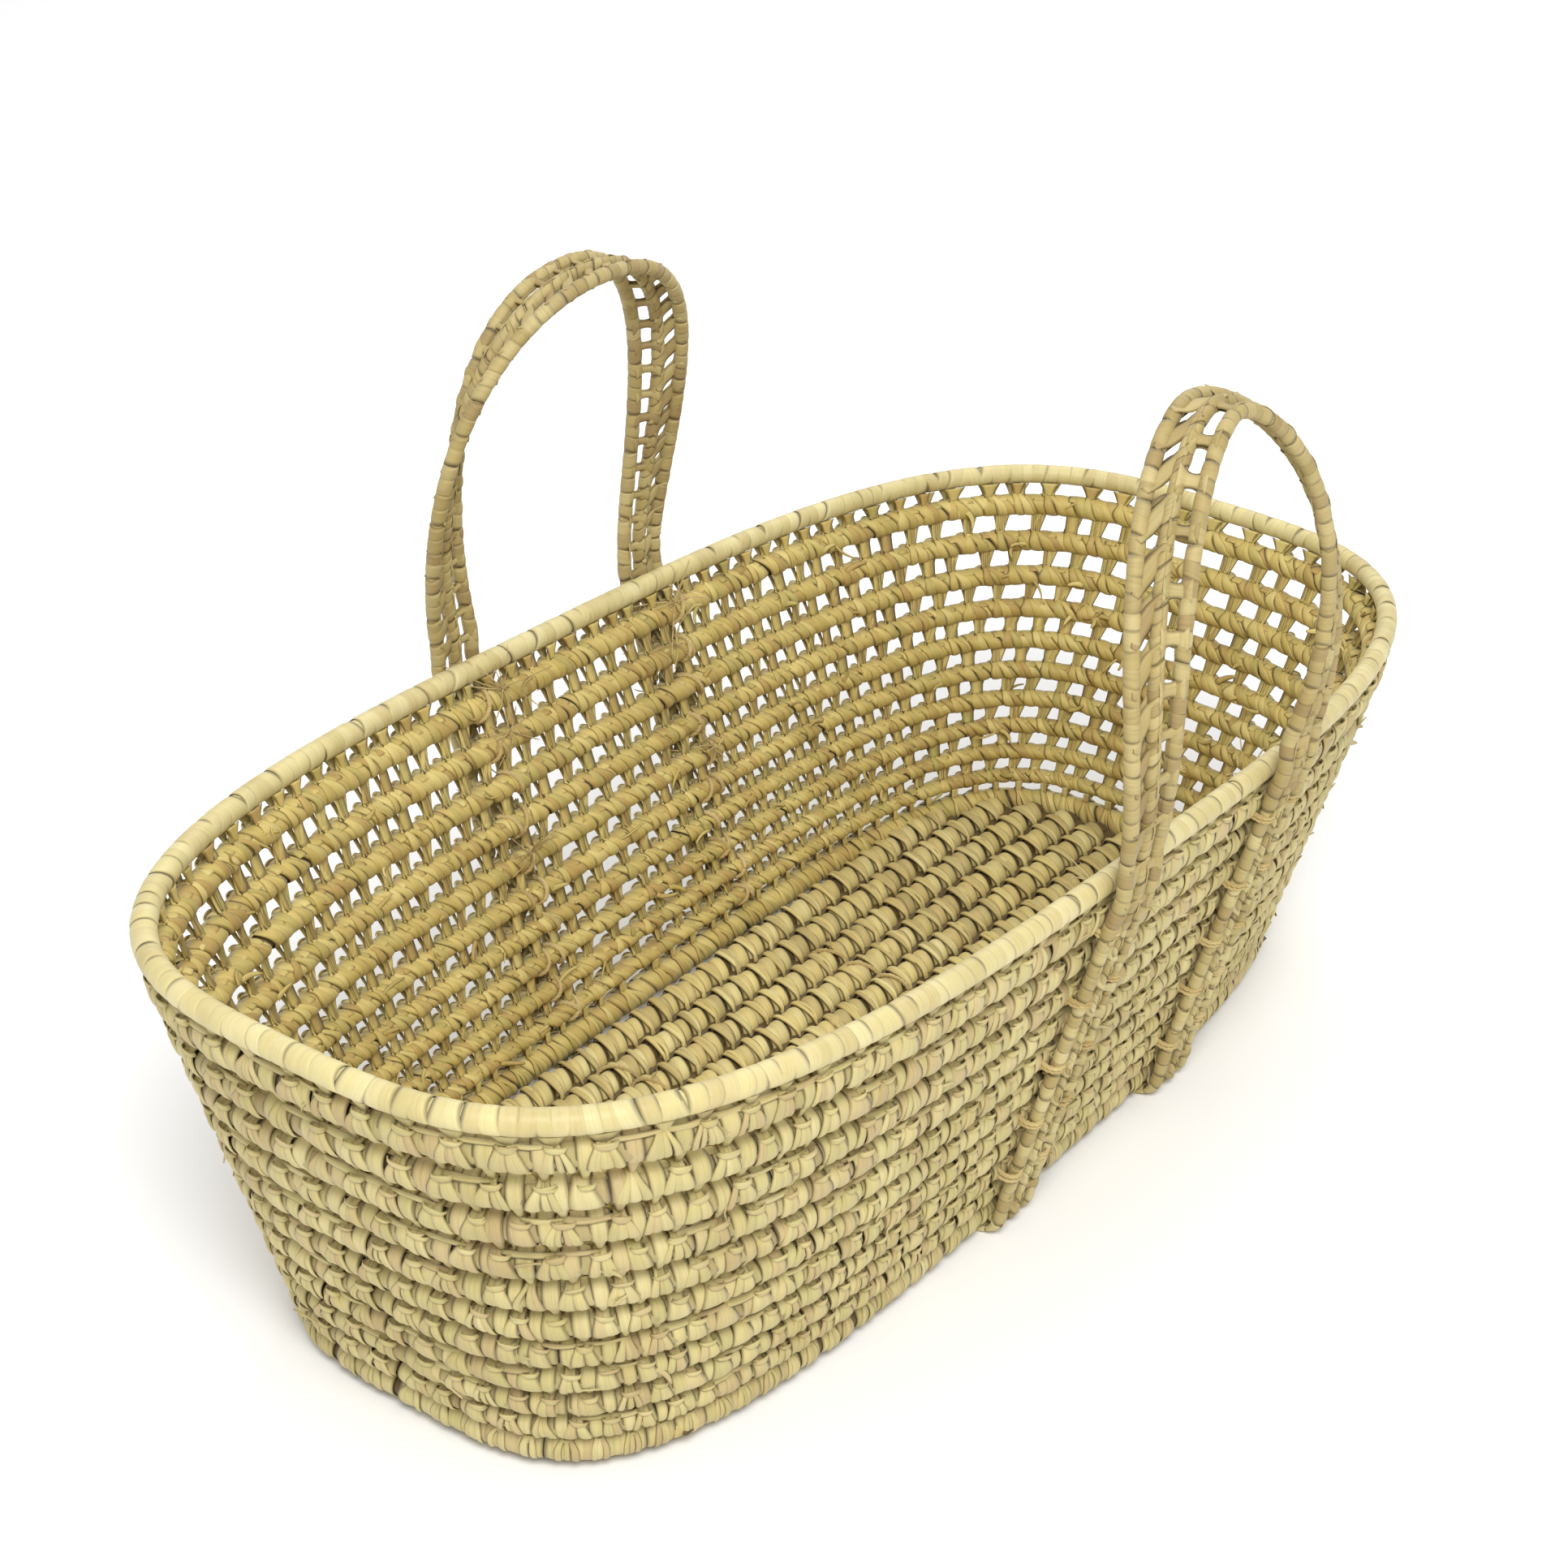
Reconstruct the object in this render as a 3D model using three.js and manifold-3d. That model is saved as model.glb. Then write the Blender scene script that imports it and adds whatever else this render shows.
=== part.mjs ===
// Moses basket in coiled palm leaf, with two openwork palm-band handles.
// Millimetres, +Z up, +X along the length towards the foot end, +Y towards the far side.
// The origin is on the ground, at the middle of the basket's outline.

import * as THREE from "three";
import { mergeVertices } from "three/addons/utils/BufferGeometryUtils.js";
import Module from "manifold-3d";

const wasm = await Module();
wasm.setup();

// Driving dimensions, millimetres

const RIM_HALF_LENGTH = 410;
const RIM_HALF_WIDTH = 195;
const RIM_SHAPE = 3.2; // exponent of the rounded-oblong plan: 2 is an ellipse
const RIM_HEIGHT = 232; // centre of the rim rod above the ground, at mid length
const HEAD_RISE = 20; // the rim climbs this much from mid length to the head end, -X
const RIM_ROD_RADIUS = 7.5;

const BASE_HALF_LENGTH = 340;
const BASE_HALF_WIDTH = 137;
const BASE_SHAPE = 3.8;
const BASE_COIL_RADIUS = 8;

const WALL_COILS = 10;
const WALL_HALF_THICKNESS = 7.5;
const TOP_COIL_WEIGHT = 1.2; // the coils grow evenly from the floor up to the rim
const BOTTOM_COIL_WEIGHT = 0.8;

const FLOOR_COILS = 11;
const FLOOR_PITCH = 22.6;
const FLOOR_HALF_HEIGHT = 7;
const FLOOR_EDGE_GAP = 2.5;

const GAP = 0.4; // clear space between pieces that touch
const RING_STEPS = 40;

const CORD_RADIUS = 4.2; // the three wrapped cords of a handle band
const CORD_SPACING = 13.5;
const STRAP_HALF_THICKNESS = 2; // the cords are pressed flat under the base
const LEG_HALF_SPACING = 80;
const NEAR_SHIFT = 50; // middle of the near handle, along X
const FAR_SHIFT = 14;
const STRAP_TOP = 240; // height where the sewn strap ends and the free handle bends
const HANDLE_GAP = 9; // bare stretch at the bend

// How each handle stands. rise: from its cut ends to the middle of its top. bulge: how far
// the legs part on their way up. point: above 1, the top is pointed. lean: inward, mm per
// mm of height. flare: how far the legs swing out from the wall on their way up.
const NEAR_ARCH = { rise: 206, bulge: 41, point: 1.27, lean: 0.14, flare: 14 };
const FAR_ARCH = { rise: 196, bulge: 39, point: 0.9, lean: 0.16, flare: 4 };
const ARCH_RISE_POWER = 0.95;

const WEB_HALF_THICKNESS = 1;
const WEB_TURNS = 18;
const TWINE_RADIUS = 1.3;
const TWINE_TIES = 5;

const BASE_LEVEL = 2 * STRAP_HALF_THICKNESS + GAP + BASE_COIL_RADIUS;
const BASE_COIL_CORNER = BASE_COIL_RADIUS / Math.cos(Math.PI / 8);
const COIL_CLEARANCE = BASE_COIL_CORNER + GAP;
const BAND_OFFSET = COIL_CLEARANCE + CORD_RADIUS;

// Materials

function palm(color, roughness) {
  return new THREE.MeshStandardMaterial({ color, roughness, metalness: 0 });
}

const rimLeaf = () => palm(0xd9cd8f, 0.55);
const wallLeaf = () => palm(0xcbbb78, 0.7);
const floorLeaf = () => palm(0xb5a062, 0.75);
const bandLeaf = () => palm(0xb49a66, 0.7);
const juteTwine = () => palm(0xc2a878, 0.9);

// Plan curves

// Point of a rounded oblong at angle t.
function oblong(halfLength, halfWidth, shape, t) {
  const c = Math.cos(t);
  const s = Math.sin(t);
  const power = 2 / shape;
  return [
    halfLength * Math.sign(c) * Math.abs(c) ** power,
    halfWidth * Math.sign(s) * Math.abs(s) ** power,
  ];
}

// Angles that share out a rounded oblong's length evenly.
function evenAngles(halfLength, halfWidth, shape, count) {
  const fine = 2000;
  const angles = [0];
  const lengths = [0];
  let previous = oblong(halfLength, halfWidth, shape, 0);
  for (let i = 1; i <= fine; i += 1) {
    const t = (i / fine) * 2 * Math.PI;
    const point = oblong(halfLength, halfWidth, shape, t);
    const step = Math.hypot(point[0] - previous[0], point[1] - previous[1]);
    angles.push(t);
    lengths.push(lengths[i - 1] + step);
    previous = point;
  }
  const even = [];
  let j = 0;
  for (let k = 0; k < count; k += 1) {
    const target = (lengths[fine] * k) / count;
    while (lengths[j + 1] < target) j += 1;
    const part = (target - lengths[j]) / (lengths[j + 1] - lengths[j]);
    even.push(angles[j] + part * (angles[j + 1] - angles[j]));
  }
  return even;
}

const RING_ANGLES = evenAngles(RIM_HALF_LENGTH, RIM_HALF_WIDTH, RIM_SHAPE, RING_STEPS);

function rimPoint(t) {
  const [x, y] = oblong(RIM_HALF_LENGTH, RIM_HALF_WIDTH, RIM_SHAPE, t);
  return new THREE.Vector3(x, y, RIM_HEIGHT - (HEAD_RISE * x) / RIM_HALF_LENGTH);
}

function basePoint(t) {
  const [x, y] = oblong(BASE_HALF_LENGTH, BASE_HALF_WIDTH, BASE_SHAPE, t);
  return new THREE.Vector3(x, y, BASE_LEVEL);
}

// Sweeps: a polygon of `sides` carried along frames {centre, across, up}, where across and
// up are the section's two half sizes as vectors. The polygon fills that box exactly: it has
// flats at both ends of up, and at both ends of across too when `sides` is 4 or 8.

function sectionPoint(frame, angle, sides) {
  const toFlats = 1 / Math.cos(Math.PI / sides);
  const square = sides % 4 === 0;
  const turned = angle + (square ? Math.PI / sides : 0);
  return frame.centre
    .clone()
    .addScaledVector(frame.across, Math.cos(turned) * (square ? toFlats : 1))
    .addScaledVector(frame.up, Math.sin(turned) * toFlats);
}

function sweepRing(frames, sides) {
  const tubeRadius = 0.25;
  const geometry = new THREE.TorusGeometry(1, tubeRadius, sides, frames.length);
  const position = geometry.attributes.position;
  for (let i = 0; i < position.count; i += 1) {
    const v = new THREE.Vector3().fromBufferAttribute(position, i);
    const around = Math.atan2(v.y, v.x) / (2 * Math.PI);
    const index = Math.round((around + 1) * frames.length) % frames.length;
    const angle = Math.atan2(v.z, Math.hypot(v.x, v.y) - 1);
    position.setXYZ(i, ...sectionPoint(frames[index], angle, sides).toArray());
  }
  geometry.computeVertexNormals();
  return geometry;
}

function sweepRod(frames, sides) {
  const steps = frames.length - 1;
  const geometry = new THREE.CylinderGeometry(1, 1, 1, sides, steps);
  const position = geometry.attributes.position;
  for (let i = 0; i < position.count; i += 1) {
    const v = new THREE.Vector3().fromBufferAttribute(position, i);
    const frame = frames[Math.round((v.y + 0.5) * steps)];
    const onAxis = Math.hypot(v.x, v.z) < 0.5;
    const angle = Math.atan2(v.x, v.z);
    const point = onAxis ? frame.centre : sectionPoint(frame, angle, sides);
    position.setXYZ(i, point.x, point.y, point.z);
  }
  geometry.computeVertexNormals();
  return geometry;
}

// Frames of a rod along `points`, with its wide axis along `wides` and the given half sizes.
function rodFrames(points, wides, halfWide, halfThick) {
  return points.map((centre, i) => {
    const before = points[Math.max(i - 1, 0)];
    const after = points[Math.min(i + 1, points.length - 1)];
    const along = after.clone().sub(before).normalize();
    const wide = wides[i].clone();
    wide.addScaledVector(along, -wide.dot(along)).normalize();
    const thick = new THREE.Vector3().crossVectors(along, wide);
    const thickness = Array.isArray(halfThick) ? halfThick[i] : halfThick;
    return {
      centre,
      across: wide.multiplyScalar(halfWide),
      up: thick.multiplyScalar(thickness),
    };
  });
}

// Basket rings

// Axes of a ring section at angle t: `up` runs up the wall and `out` leaves it square.
function wallAxes(t) {
  const low = basePoint(t);
  const high = rimPoint(t);
  const up = high.clone().sub(low);
  const height = up.length();
  up.normalize();
  const delta = 0.01;
  const along = rimPoint(t + delta).sub(rimPoint(t - delta)).normalize();
  const out = new THREE.Vector3().crossVectors(along, up).normalize();
  return { low, up, out, height };
}

function ringGeometry(sides, sectionAt) {
  const frames = RING_ANGLES.map((t) => {
    const wall = wallAxes(t);
    const section = sectionAt(wall.height);
    return {
      centre: wall.low.clone().addScaledVector(wall.up, section.level),
      across: wall.out.clone().multiplyScalar(section.halfThickness),
      up: wall.up.clone().multiplyScalar(section.halfHeight),
    };
  });
  return sweepRing(frames, sides);
}

function rimGeometry() {
  const radius = RIM_ROD_RADIUS;
  return ringGeometry(8, (height) => ({
    level: height,
    halfThickness: radius,
    halfHeight: radius,
  }));
}

// The ring round the floor stands upright, with a level underside.
function baseRingGeometry() {
  const frames = RING_ANGLES.map((t) => ({
    centre: basePoint(t),
    across: wallAxes(t).out.setZ(0).normalize().multiplyScalar(BASE_COIL_RADIUS),
    up: new THREE.Vector3(0, 0, BASE_COIL_RADIUS),
  }));
  return sweepRing(frames, 8);
}

// Share of the wall's height below the top of coil `count`, counted up from the floor.
function heightShare(count) {
  const slope = (TOP_COIL_WEIGHT - BOTTOM_COIL_WEIGHT) / (WALL_COILS - 1);
  let sum = 0;
  let total = 0;
  for (let i = 0; i < WALL_COILS; i += 1) {
    const weight = BOTTOM_COIL_WEIGHT + slope * i;
    total += weight;
    if (i < count) sum += weight;
  }
  return sum / total;
}

function wallCoilGeometry(index) {
  const sides = 6;
  const start = BASE_COIL_CORNER + GAP / 2;
  const end = RIM_ROD_RADIUS + GAP / 2;
  return ringGeometry(sides, (height) => {
    const span = height - start - end;
    const bottom = start + span * heightShare(index - 1);
    const top = start + span * heightShare(index);
    return {
      level: (bottom + top) / 2,
      halfThickness: WALL_HALF_THICKNESS,
      halfHeight: (top - bottom - GAP) / 2,
    };
  });
}

// Floor coils: straight rods trimmed to the inside of the base ring.

function toManifold(geometry) {
  const bare = new THREE.BufferGeometry();
  bare.setAttribute("position", geometry.attributes.position);
  bare.setIndex(geometry.index);
  const merged = mergeVertices(bare, 1e-4);
  return new wasm.Manifold(
    new wasm.Mesh({
      numProp: 3,
      vertProperties: new Float32Array(merged.attributes.position.array),
      triVerts: new Uint32Array(merged.index.array),
    }),
  );
}

function fromManifold(solid) {
  const mesh = solid.getMesh();
  const geometry = new THREE.BufferGeometry();
  geometry.setAttribute("position", new THREE.BufferAttribute(mesh.vertProperties, 3));
  geometry.setIndex(new THREE.BufferAttribute(mesh.triVerts, 1));
  geometry.computeVertexNormals();
  return geometry;
}

function floorOutline() {
  const inset = BASE_COIL_RADIUS + FLOOR_EDGE_GAP;
  const points = RING_ANGLES.map((t) => {
    const wall = wallAxes(t);
    const out = new THREE.Vector2(wall.out.x, wall.out.y).normalize();
    return new THREE.Vector2(wall.low.x, wall.low.y).addScaledVector(out, -inset);
  });
  const outline = new THREE.ExtrudeGeometry(new THREE.Shape(points), {
    depth: 2 * BASE_LEVEL,
    bevelEnabled: false,
  });
  return toManifold(mergeVertices(outline.deleteAttribute("uv").deleteAttribute("normal")));
}

const FLOOR_OUTLINE = floorOutline();

function floorCoilGeometry(index) {
  const sides = 8;
  const y = (index - (FLOOR_COILS + 1) / 2) * FLOOR_PITCH;
  const halfWidth = (FLOOR_PITCH - GAP) / 2;
  const ends = [-BASE_HALF_LENGTH, BASE_HALF_LENGTH];
  const level = 2 * STRAP_HALF_THICKNESS + GAP + FLOOR_HALF_HEIGHT;
  const points = ends.map((x) => new THREE.Vector3(x, y, level));
  const wides = ends.map(() => new THREE.Vector3(0, 1, 0));
  const frames = rodFrames(points, wides, halfWidth, FLOOR_HALF_HEIGHT);
  return fromManifold(toManifold(sweepRod(frames, sides)).intersect(FLOOR_OUTLINE));
}

// Handles: each is a band of three cords that leaves the rim flat against the wall and
// turns a quarter turn up each leg, so that its flat side faces up at the top.

function handleCentre(side, u) {
  const angle = Math.PI * u;
  const c = Math.cos(angle);
  const s = Math.sin(angle);
  const arch = side < 0 ? NEAR_ARCH : FAR_ARCH;
  const reach = LEG_HALF_SPACING + arch.bulge * s;
  const share = Math.abs(s) ** ARCH_RISE_POWER;
  const height = arch.rise * share;
  const softStart = 30;
  const leant = (arch.lean * height * height) / (height + softStart);
  const inward = leant - 4 * arch.flare * share * (1 - share);
  const shift = side < 0 ? NEAR_SHIFT : FAR_SHIFT;
  return new THREE.Vector3(
    shift - reach * Math.sign(c) * Math.abs(c) ** arch.point,
    side * (bandDistance(STRAP_TOP) - inward),
    STRAP_TOP + HANDLE_GAP + height,
  );
}

function handlePath(side, steps) {
  const points = [];
  const wides = [];
  for (let i = 0; i <= steps; i += 1) {
    const u = i / steps;
    const turn = Math.PI * u;
    points.push(handleCentre(side, u));
    wides.push(new THREE.Vector3(Math.cos(turn), side * Math.sin(turn), 0));
  }
  return rodFrames(points, wides, 1, 1);
}

function handleCordGeometry(side, place) {
  const steps = 28;
  const frames = handlePath(side, steps).map((frame) => ({
    centre: frame.centre.clone().addScaledVector(frame.across, place * CORD_SPACING),
    across: frame.across.clone().multiplyScalar(CORD_RADIUS),
    up: frame.up.clone().multiplyScalar(CORD_RADIUS),
  }));
  return sweepRod(frames, 6);
}

// Zigzag strip that fills the space between two cords of a handle.
function handleWebGeometry(side, place) {
  const steps = 2 * WEB_TURNS;
  const halfStrip = 0.9;
  const swing = CORD_SPACING / 2 - CORD_RADIUS - GAP - halfStrip;
  const frames = handlePath(side, steps).map((frame, i) => {
    const zigzag = (place * CORD_SPACING) / 2 + (i % 2 ? swing : -swing);
    return {
      centre: frame.centre.clone().addScaledVector(frame.across, zigzag),
      across: frame.across.clone().multiplyScalar(halfStrip),
      up: frame.up.clone().multiplyScalar(WEB_HALF_THICKNESS),
    };
  });
  return sweepRod(frames, 4);
}

// Straps: the same band sewn down the near wall, under the base and up the far wall.

// Distance from the centre plane of the band's middle at height z, on the wall's outside.
function bandDistance(z) {
  const tilt = Math.atan2(RIM_HALF_WIDTH - BASE_HALF_WIDTH, RIM_HEIGHT - BASE_LEVEL);
  const atHeight = Math.min(z, RIM_HEIGHT);
  const wall = BASE_HALF_WIDTH + (atHeight - BASE_LEVEL) * Math.tan(tilt);
  return wall + BAND_OFFSET / Math.cos(tilt);
}

function strapPath(sideways) {
  const tilt = Math.atan2(RIM_HALF_WIDTH - BASE_HALF_WIDTH, RIM_HEIGHT - BASE_LEVEL);
  const half = [];
  const underStops = [0, 0.5, 1];
  const turnSteps = 4;
  const wallStops = [0.25, 0.5, 0.75, 1];
  const bottom = BASE_LEVEL - BAND_OFFSET * Math.sin(tilt);
  for (const share of underStops) {
    half.push({ y: BASE_HALF_WIDTH * share, z: STRAP_HALF_THICKNESS, h: STRAP_HALF_THICKNESS });
  }
  for (let i = 1; i <= turnSteps; i += 1) {
    const angle = Math.PI / 2 - (i / turnSteps) * (Math.PI / 2 - tilt);
    const room = (BASE_LEVEL - COIL_CLEARANCE * Math.sin(angle)) / (1 + Math.sin(angle));
    const h = Math.min(CORD_RADIUS, room);
    const reach = COIL_CLEARANCE + h;
    half.push({
      y: BASE_HALF_WIDTH + reach * Math.cos(angle),
      z: BASE_LEVEL - reach * Math.sin(angle),
      h,
    });
  }
  for (const share of wallStops) {
    const z = bottom + share * (RIM_HEIGHT - bottom);
    half.push({ y: bandDistance(z), z, h: CORD_RADIUS });
  }
  half.push({ y: bandDistance(STRAP_TOP), z: STRAP_TOP, h: CORD_RADIUS });
  const reachTotal = bandDistance(STRAP_TOP);
  const whole = [
    ...half.slice(1).reverse().map((stop) => ({ ...stop, y: -stop.y })),
    ...half,
  ];
  const points = whole.map((stop) => {
    const share = (stop.y + reachTotal) / (2 * reachTotal);
    const x = NEAR_SHIFT + (FAR_SHIFT - NEAR_SHIFT) * share + sideways;
    return new THREE.Vector3(x, stop.y, stop.z);
  });
  return { points, halfThick: whole.map((stop) => stop.h) };
}

function strapPieceGeometry(end, place, halfWide, thinning, sides) {
  const path = strapPath(end * LEG_HALF_SPACING + place * CORD_SPACING);
  const wides = path.points.map(() => new THREE.Vector3(1, 0, 0));
  const thick = path.halfThick.map((h) => h * thinning);
  return sweepRod(rodFrames(path.points, wides, halfWide, thick), sides);
}

function strapCordGeometry(end, place) {
  return strapPieceGeometry(end, place, CORD_RADIUS, 1, 6);
}

function strapWebGeometry(end, place) {
  const halfWide = CORD_SPACING / 2 - CORD_RADIUS - GAP;
  const thinning = 0.3;
  return strapPieceGeometry(end, place / 2, halfWide, thinning, 4);
}

// Twine: one running tie that crosses the strap back and forth, up the outside of a wall.
function twineGeometry(side, end) {
  const crossings = 2 * TWINE_TIES + 1;
  const lowest = 40;
  const highest = 215;
  const edge = CORD_SPACING + 2;
  const stand = CORD_RADIUS + 2 * GAP + TWINE_RADIUS;
  const shift = side < 0 ? NEAR_SHIFT : FAR_SHIFT;
  const points = [];
  for (let i = 0; i <= crossings; i += 1) {
    const z = lowest + ((highest - lowest) * i) / crossings;
    const x = shift + end * LEG_HALF_SPACING + (i % 2 ? edge : -edge) + twineDrift(side, z);
    points.push(new THREE.Vector3(x, side * (bandDistance(z) + stand), z));
  }
  const wides = points.map(() => new THREE.Vector3(0, 1, 0.25));
  return sweepRod(rodFrames(points, wides, TWINE_RADIUS, TWINE_RADIUS), 4);
}

// The straps run slightly askew, so their place along X changes with their depth.
function twineDrift(side, z) {
  const total = bandDistance(STRAP_TOP);
  const share = (total - bandDistance(z)) / (2 * total);
  return side < 0 ? (FAR_SHIFT - NEAR_SHIFT) * share : (NEAR_SHIFT - FAR_SHIFT) * share;
}

// Assembly

const basket = new THREE.Group();

function addPiece(name, geometry, material) {
  const mesh = new THREE.Mesh(geometry, material);
  mesh.name = name;
  basket.add(mesh);
}

const twoDigits = (number) => String(number).padStart(2, "0");

addPiece("rim_rod", rimGeometry(), rimLeaf());
for (let i = 1; i <= WALL_COILS; i += 1) {
  addPiece(`wall_coil_${twoDigits(i)}`, wallCoilGeometry(i), wallLeaf());
}
addPiece("floor_edge_coil", baseRingGeometry(), wallLeaf());
for (let i = 1; i <= FLOOR_COILS; i += 1) {
  addPiece(`floor_coil_${twoDigits(i)}`, floorCoilGeometry(i), floorLeaf());
}

const CORD_PLACES = { inner: 1, middle: 0, outer: -1 };

for (const [sideName, side] of Object.entries({ near: -1, far: 1 })) {
  for (const [cordName, place] of Object.entries(CORD_PLACES)) {
    addPiece(`handle_${sideName}_cord_${cordName}`, handleCordGeometry(side, place), bandLeaf());
  }
  addPiece(`handle_${sideName}_web_inner`, handleWebGeometry(side, 1), bandLeaf());
  addPiece(`handle_${sideName}_web_outer`, handleWebGeometry(side, -1), bandLeaf());
}

for (const [endName, end] of Object.entries({ head: -1, foot: 1 })) {
  for (const [cordName, place] of Object.entries(CORD_PLACES)) {
    addPiece(`strap_${endName}_cord_${cordName}`, strapCordGeometry(end, -end * place), bandLeaf());
  }
  addPiece(`strap_${endName}_web_inner`, strapWebGeometry(end, -end), bandLeaf());
  addPiece(`strap_${endName}_web_outer`, strapWebGeometry(end, end), bandLeaf());
  addPiece(`twine_near_${endName}`, twineGeometry(-1, end), juteTwine());
  addPiece(`twine_far_${endName}`, twineGeometry(1, end), juteTwine());
}

export default basket;
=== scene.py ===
# Moses basket in coiled palm leaf: the looks. Metres, in the row frame.
# Every leaf strip is a thin closed ribbon laid round the basket's coils and cords.

import math

import bpy
import numpy as np
from mathutils import Matrix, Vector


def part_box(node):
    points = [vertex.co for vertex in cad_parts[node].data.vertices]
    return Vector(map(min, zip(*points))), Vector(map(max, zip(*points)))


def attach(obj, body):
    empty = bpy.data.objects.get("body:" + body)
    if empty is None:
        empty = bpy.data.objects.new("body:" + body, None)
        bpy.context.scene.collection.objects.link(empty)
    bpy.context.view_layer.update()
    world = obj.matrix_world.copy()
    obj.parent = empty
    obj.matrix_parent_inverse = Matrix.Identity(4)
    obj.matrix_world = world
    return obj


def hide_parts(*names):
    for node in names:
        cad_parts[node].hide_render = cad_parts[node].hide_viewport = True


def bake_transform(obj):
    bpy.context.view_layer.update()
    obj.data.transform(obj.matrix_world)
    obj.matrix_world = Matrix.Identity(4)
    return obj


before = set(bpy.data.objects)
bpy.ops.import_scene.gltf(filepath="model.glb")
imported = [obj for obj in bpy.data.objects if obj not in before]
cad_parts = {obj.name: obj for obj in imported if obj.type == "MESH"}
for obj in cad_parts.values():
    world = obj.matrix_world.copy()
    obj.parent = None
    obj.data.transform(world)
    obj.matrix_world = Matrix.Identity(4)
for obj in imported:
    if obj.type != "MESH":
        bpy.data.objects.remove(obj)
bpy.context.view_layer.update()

MM = 0.001

# Sizes the CAD model is driven by

RIM_SHAPE = 3.2
BASE_SHAPE = 3.8
RIM_ROD_RADIUS = 7.5 * MM
BASE_COIL_RADIUS = 8 * MM
BASE_LEVEL = 12.4 * MM
RIM_HEIGHT = 232 * MM
HEAD_RISE = 20 * MM
RIM_HALF_LENGTH = 410 * MM
RIM_HALF_WIDTH = 195 * MM
BASE_HALF_LENGTH = 340 * MM
BASE_HALF_WIDTH = 137 * MM
WALL_COILS = 10
TOP_COIL_WEIGHT = 1.2
BOTTOM_COIL_WEIGHT = 0.8
FLOOR_COILS = 11
FLOOR_PITCH = 22.6 * MM
FLOOR_LEVEL = 11.4 * MM
COIL_GAP = 0.4 * MM
CORD_RADIUS = 4.2 * MM
CORD_SPACING = 13.5 * MM
STRAP_HALF_THICKNESS = 2 * MM
LEG_HALF_SPACING = 80 * MM
SHIFTS = {-1: 50 * MM, 1: 14 * MM}
STRAP_TOP = 240 * MM
HANDLE_GAP = 9 * MM
ARCHES = {
    -1: {"rise": 206 * MM, "bulge": 41 * MM, "point": 1.27, "lean": 0.14, "flare": 14 * MM},
    1: {"rise": 196 * MM, "bulge": 39 * MM, "point": 0.9, "lean": 0.16, "flare": 4 * MM},
}
ARCH_RISE_POWER = 0.95
WALL_TILT = math.atan2(RIM_HALF_WIDTH - BASE_HALF_WIDTH, RIM_HEIGHT - BASE_LEVEL)
BASE_COIL_CORNER = BASE_COIL_RADIUS / math.cos(math.pi / 8)
COIL_CLEARANCE = BASE_COIL_CORNER + COIL_GAP
BAND_OFFSET = COIL_CLEARANCE + CORD_RADIUS

# Section of a leaf strip: five points across its crowned face and one under its middle

ACROSS = np.array([-1.0, -0.5, 0.0, 0.5, 1.0, 0.0])
CROWN_SHARE = np.array([0.0, 0.75, 1.0, 0.75, 0.0, 1.0])
SKIN_SHARE = np.array([0.0, 0.8, 1.0, 0.8, 0.0, 0.0])
STRIP_CAPS = ((5, 0, 1, 2), (5, 2, 3, 4))  # the quads that close a ribbon's end
LEAF_THICKNESS = 0.35 * MM
NECK_STEPS = 5  # points along a pleat's neck
CORE_STEP = 1.6 * MM


def smooth(x, low, high):
    """Rises smoothly from 0 to 1 as x goes from low to high."""
    t = np.clip((x - low) / (high - low), 0, 1)
    return t * t * (3 - 2 * t)


def unit(v):
    return v / np.linalg.norm(v, axis=-1, keepdims=True)


def signed_power(v, power):
    return np.sign(v) * np.abs(v) ** power


def run_lengths(points):
    """How far along a line of points each of them is."""
    steps = np.linalg.norm(np.diff(points, axis=0), axis=1)
    return np.concatenate([[0], np.cumsum(steps)])


def sample(rows, stations, at):
    """Rows of three values, read between stations."""
    return np.stack([np.interp(at, stations, rows[:, i]) for i in range(3)], -1)


def relax(line, rounds):
    """Rounds the bends of a line of points, whose ends stay."""
    for _ in range(rounds):
        line[1:-1] = 0.25 * line[:-2] + 0.5 * line[1:-1] + 0.25 * line[2:]


def every(path, axis, value=1.0):
    """A direction along one guide axis, for every point of a path."""
    axes = np.zeros_like(path)
    axes[..., axis] = value
    return axes


# Guides: a centre line with two axes, on which local points (u along, a out, b up) are laid


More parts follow.
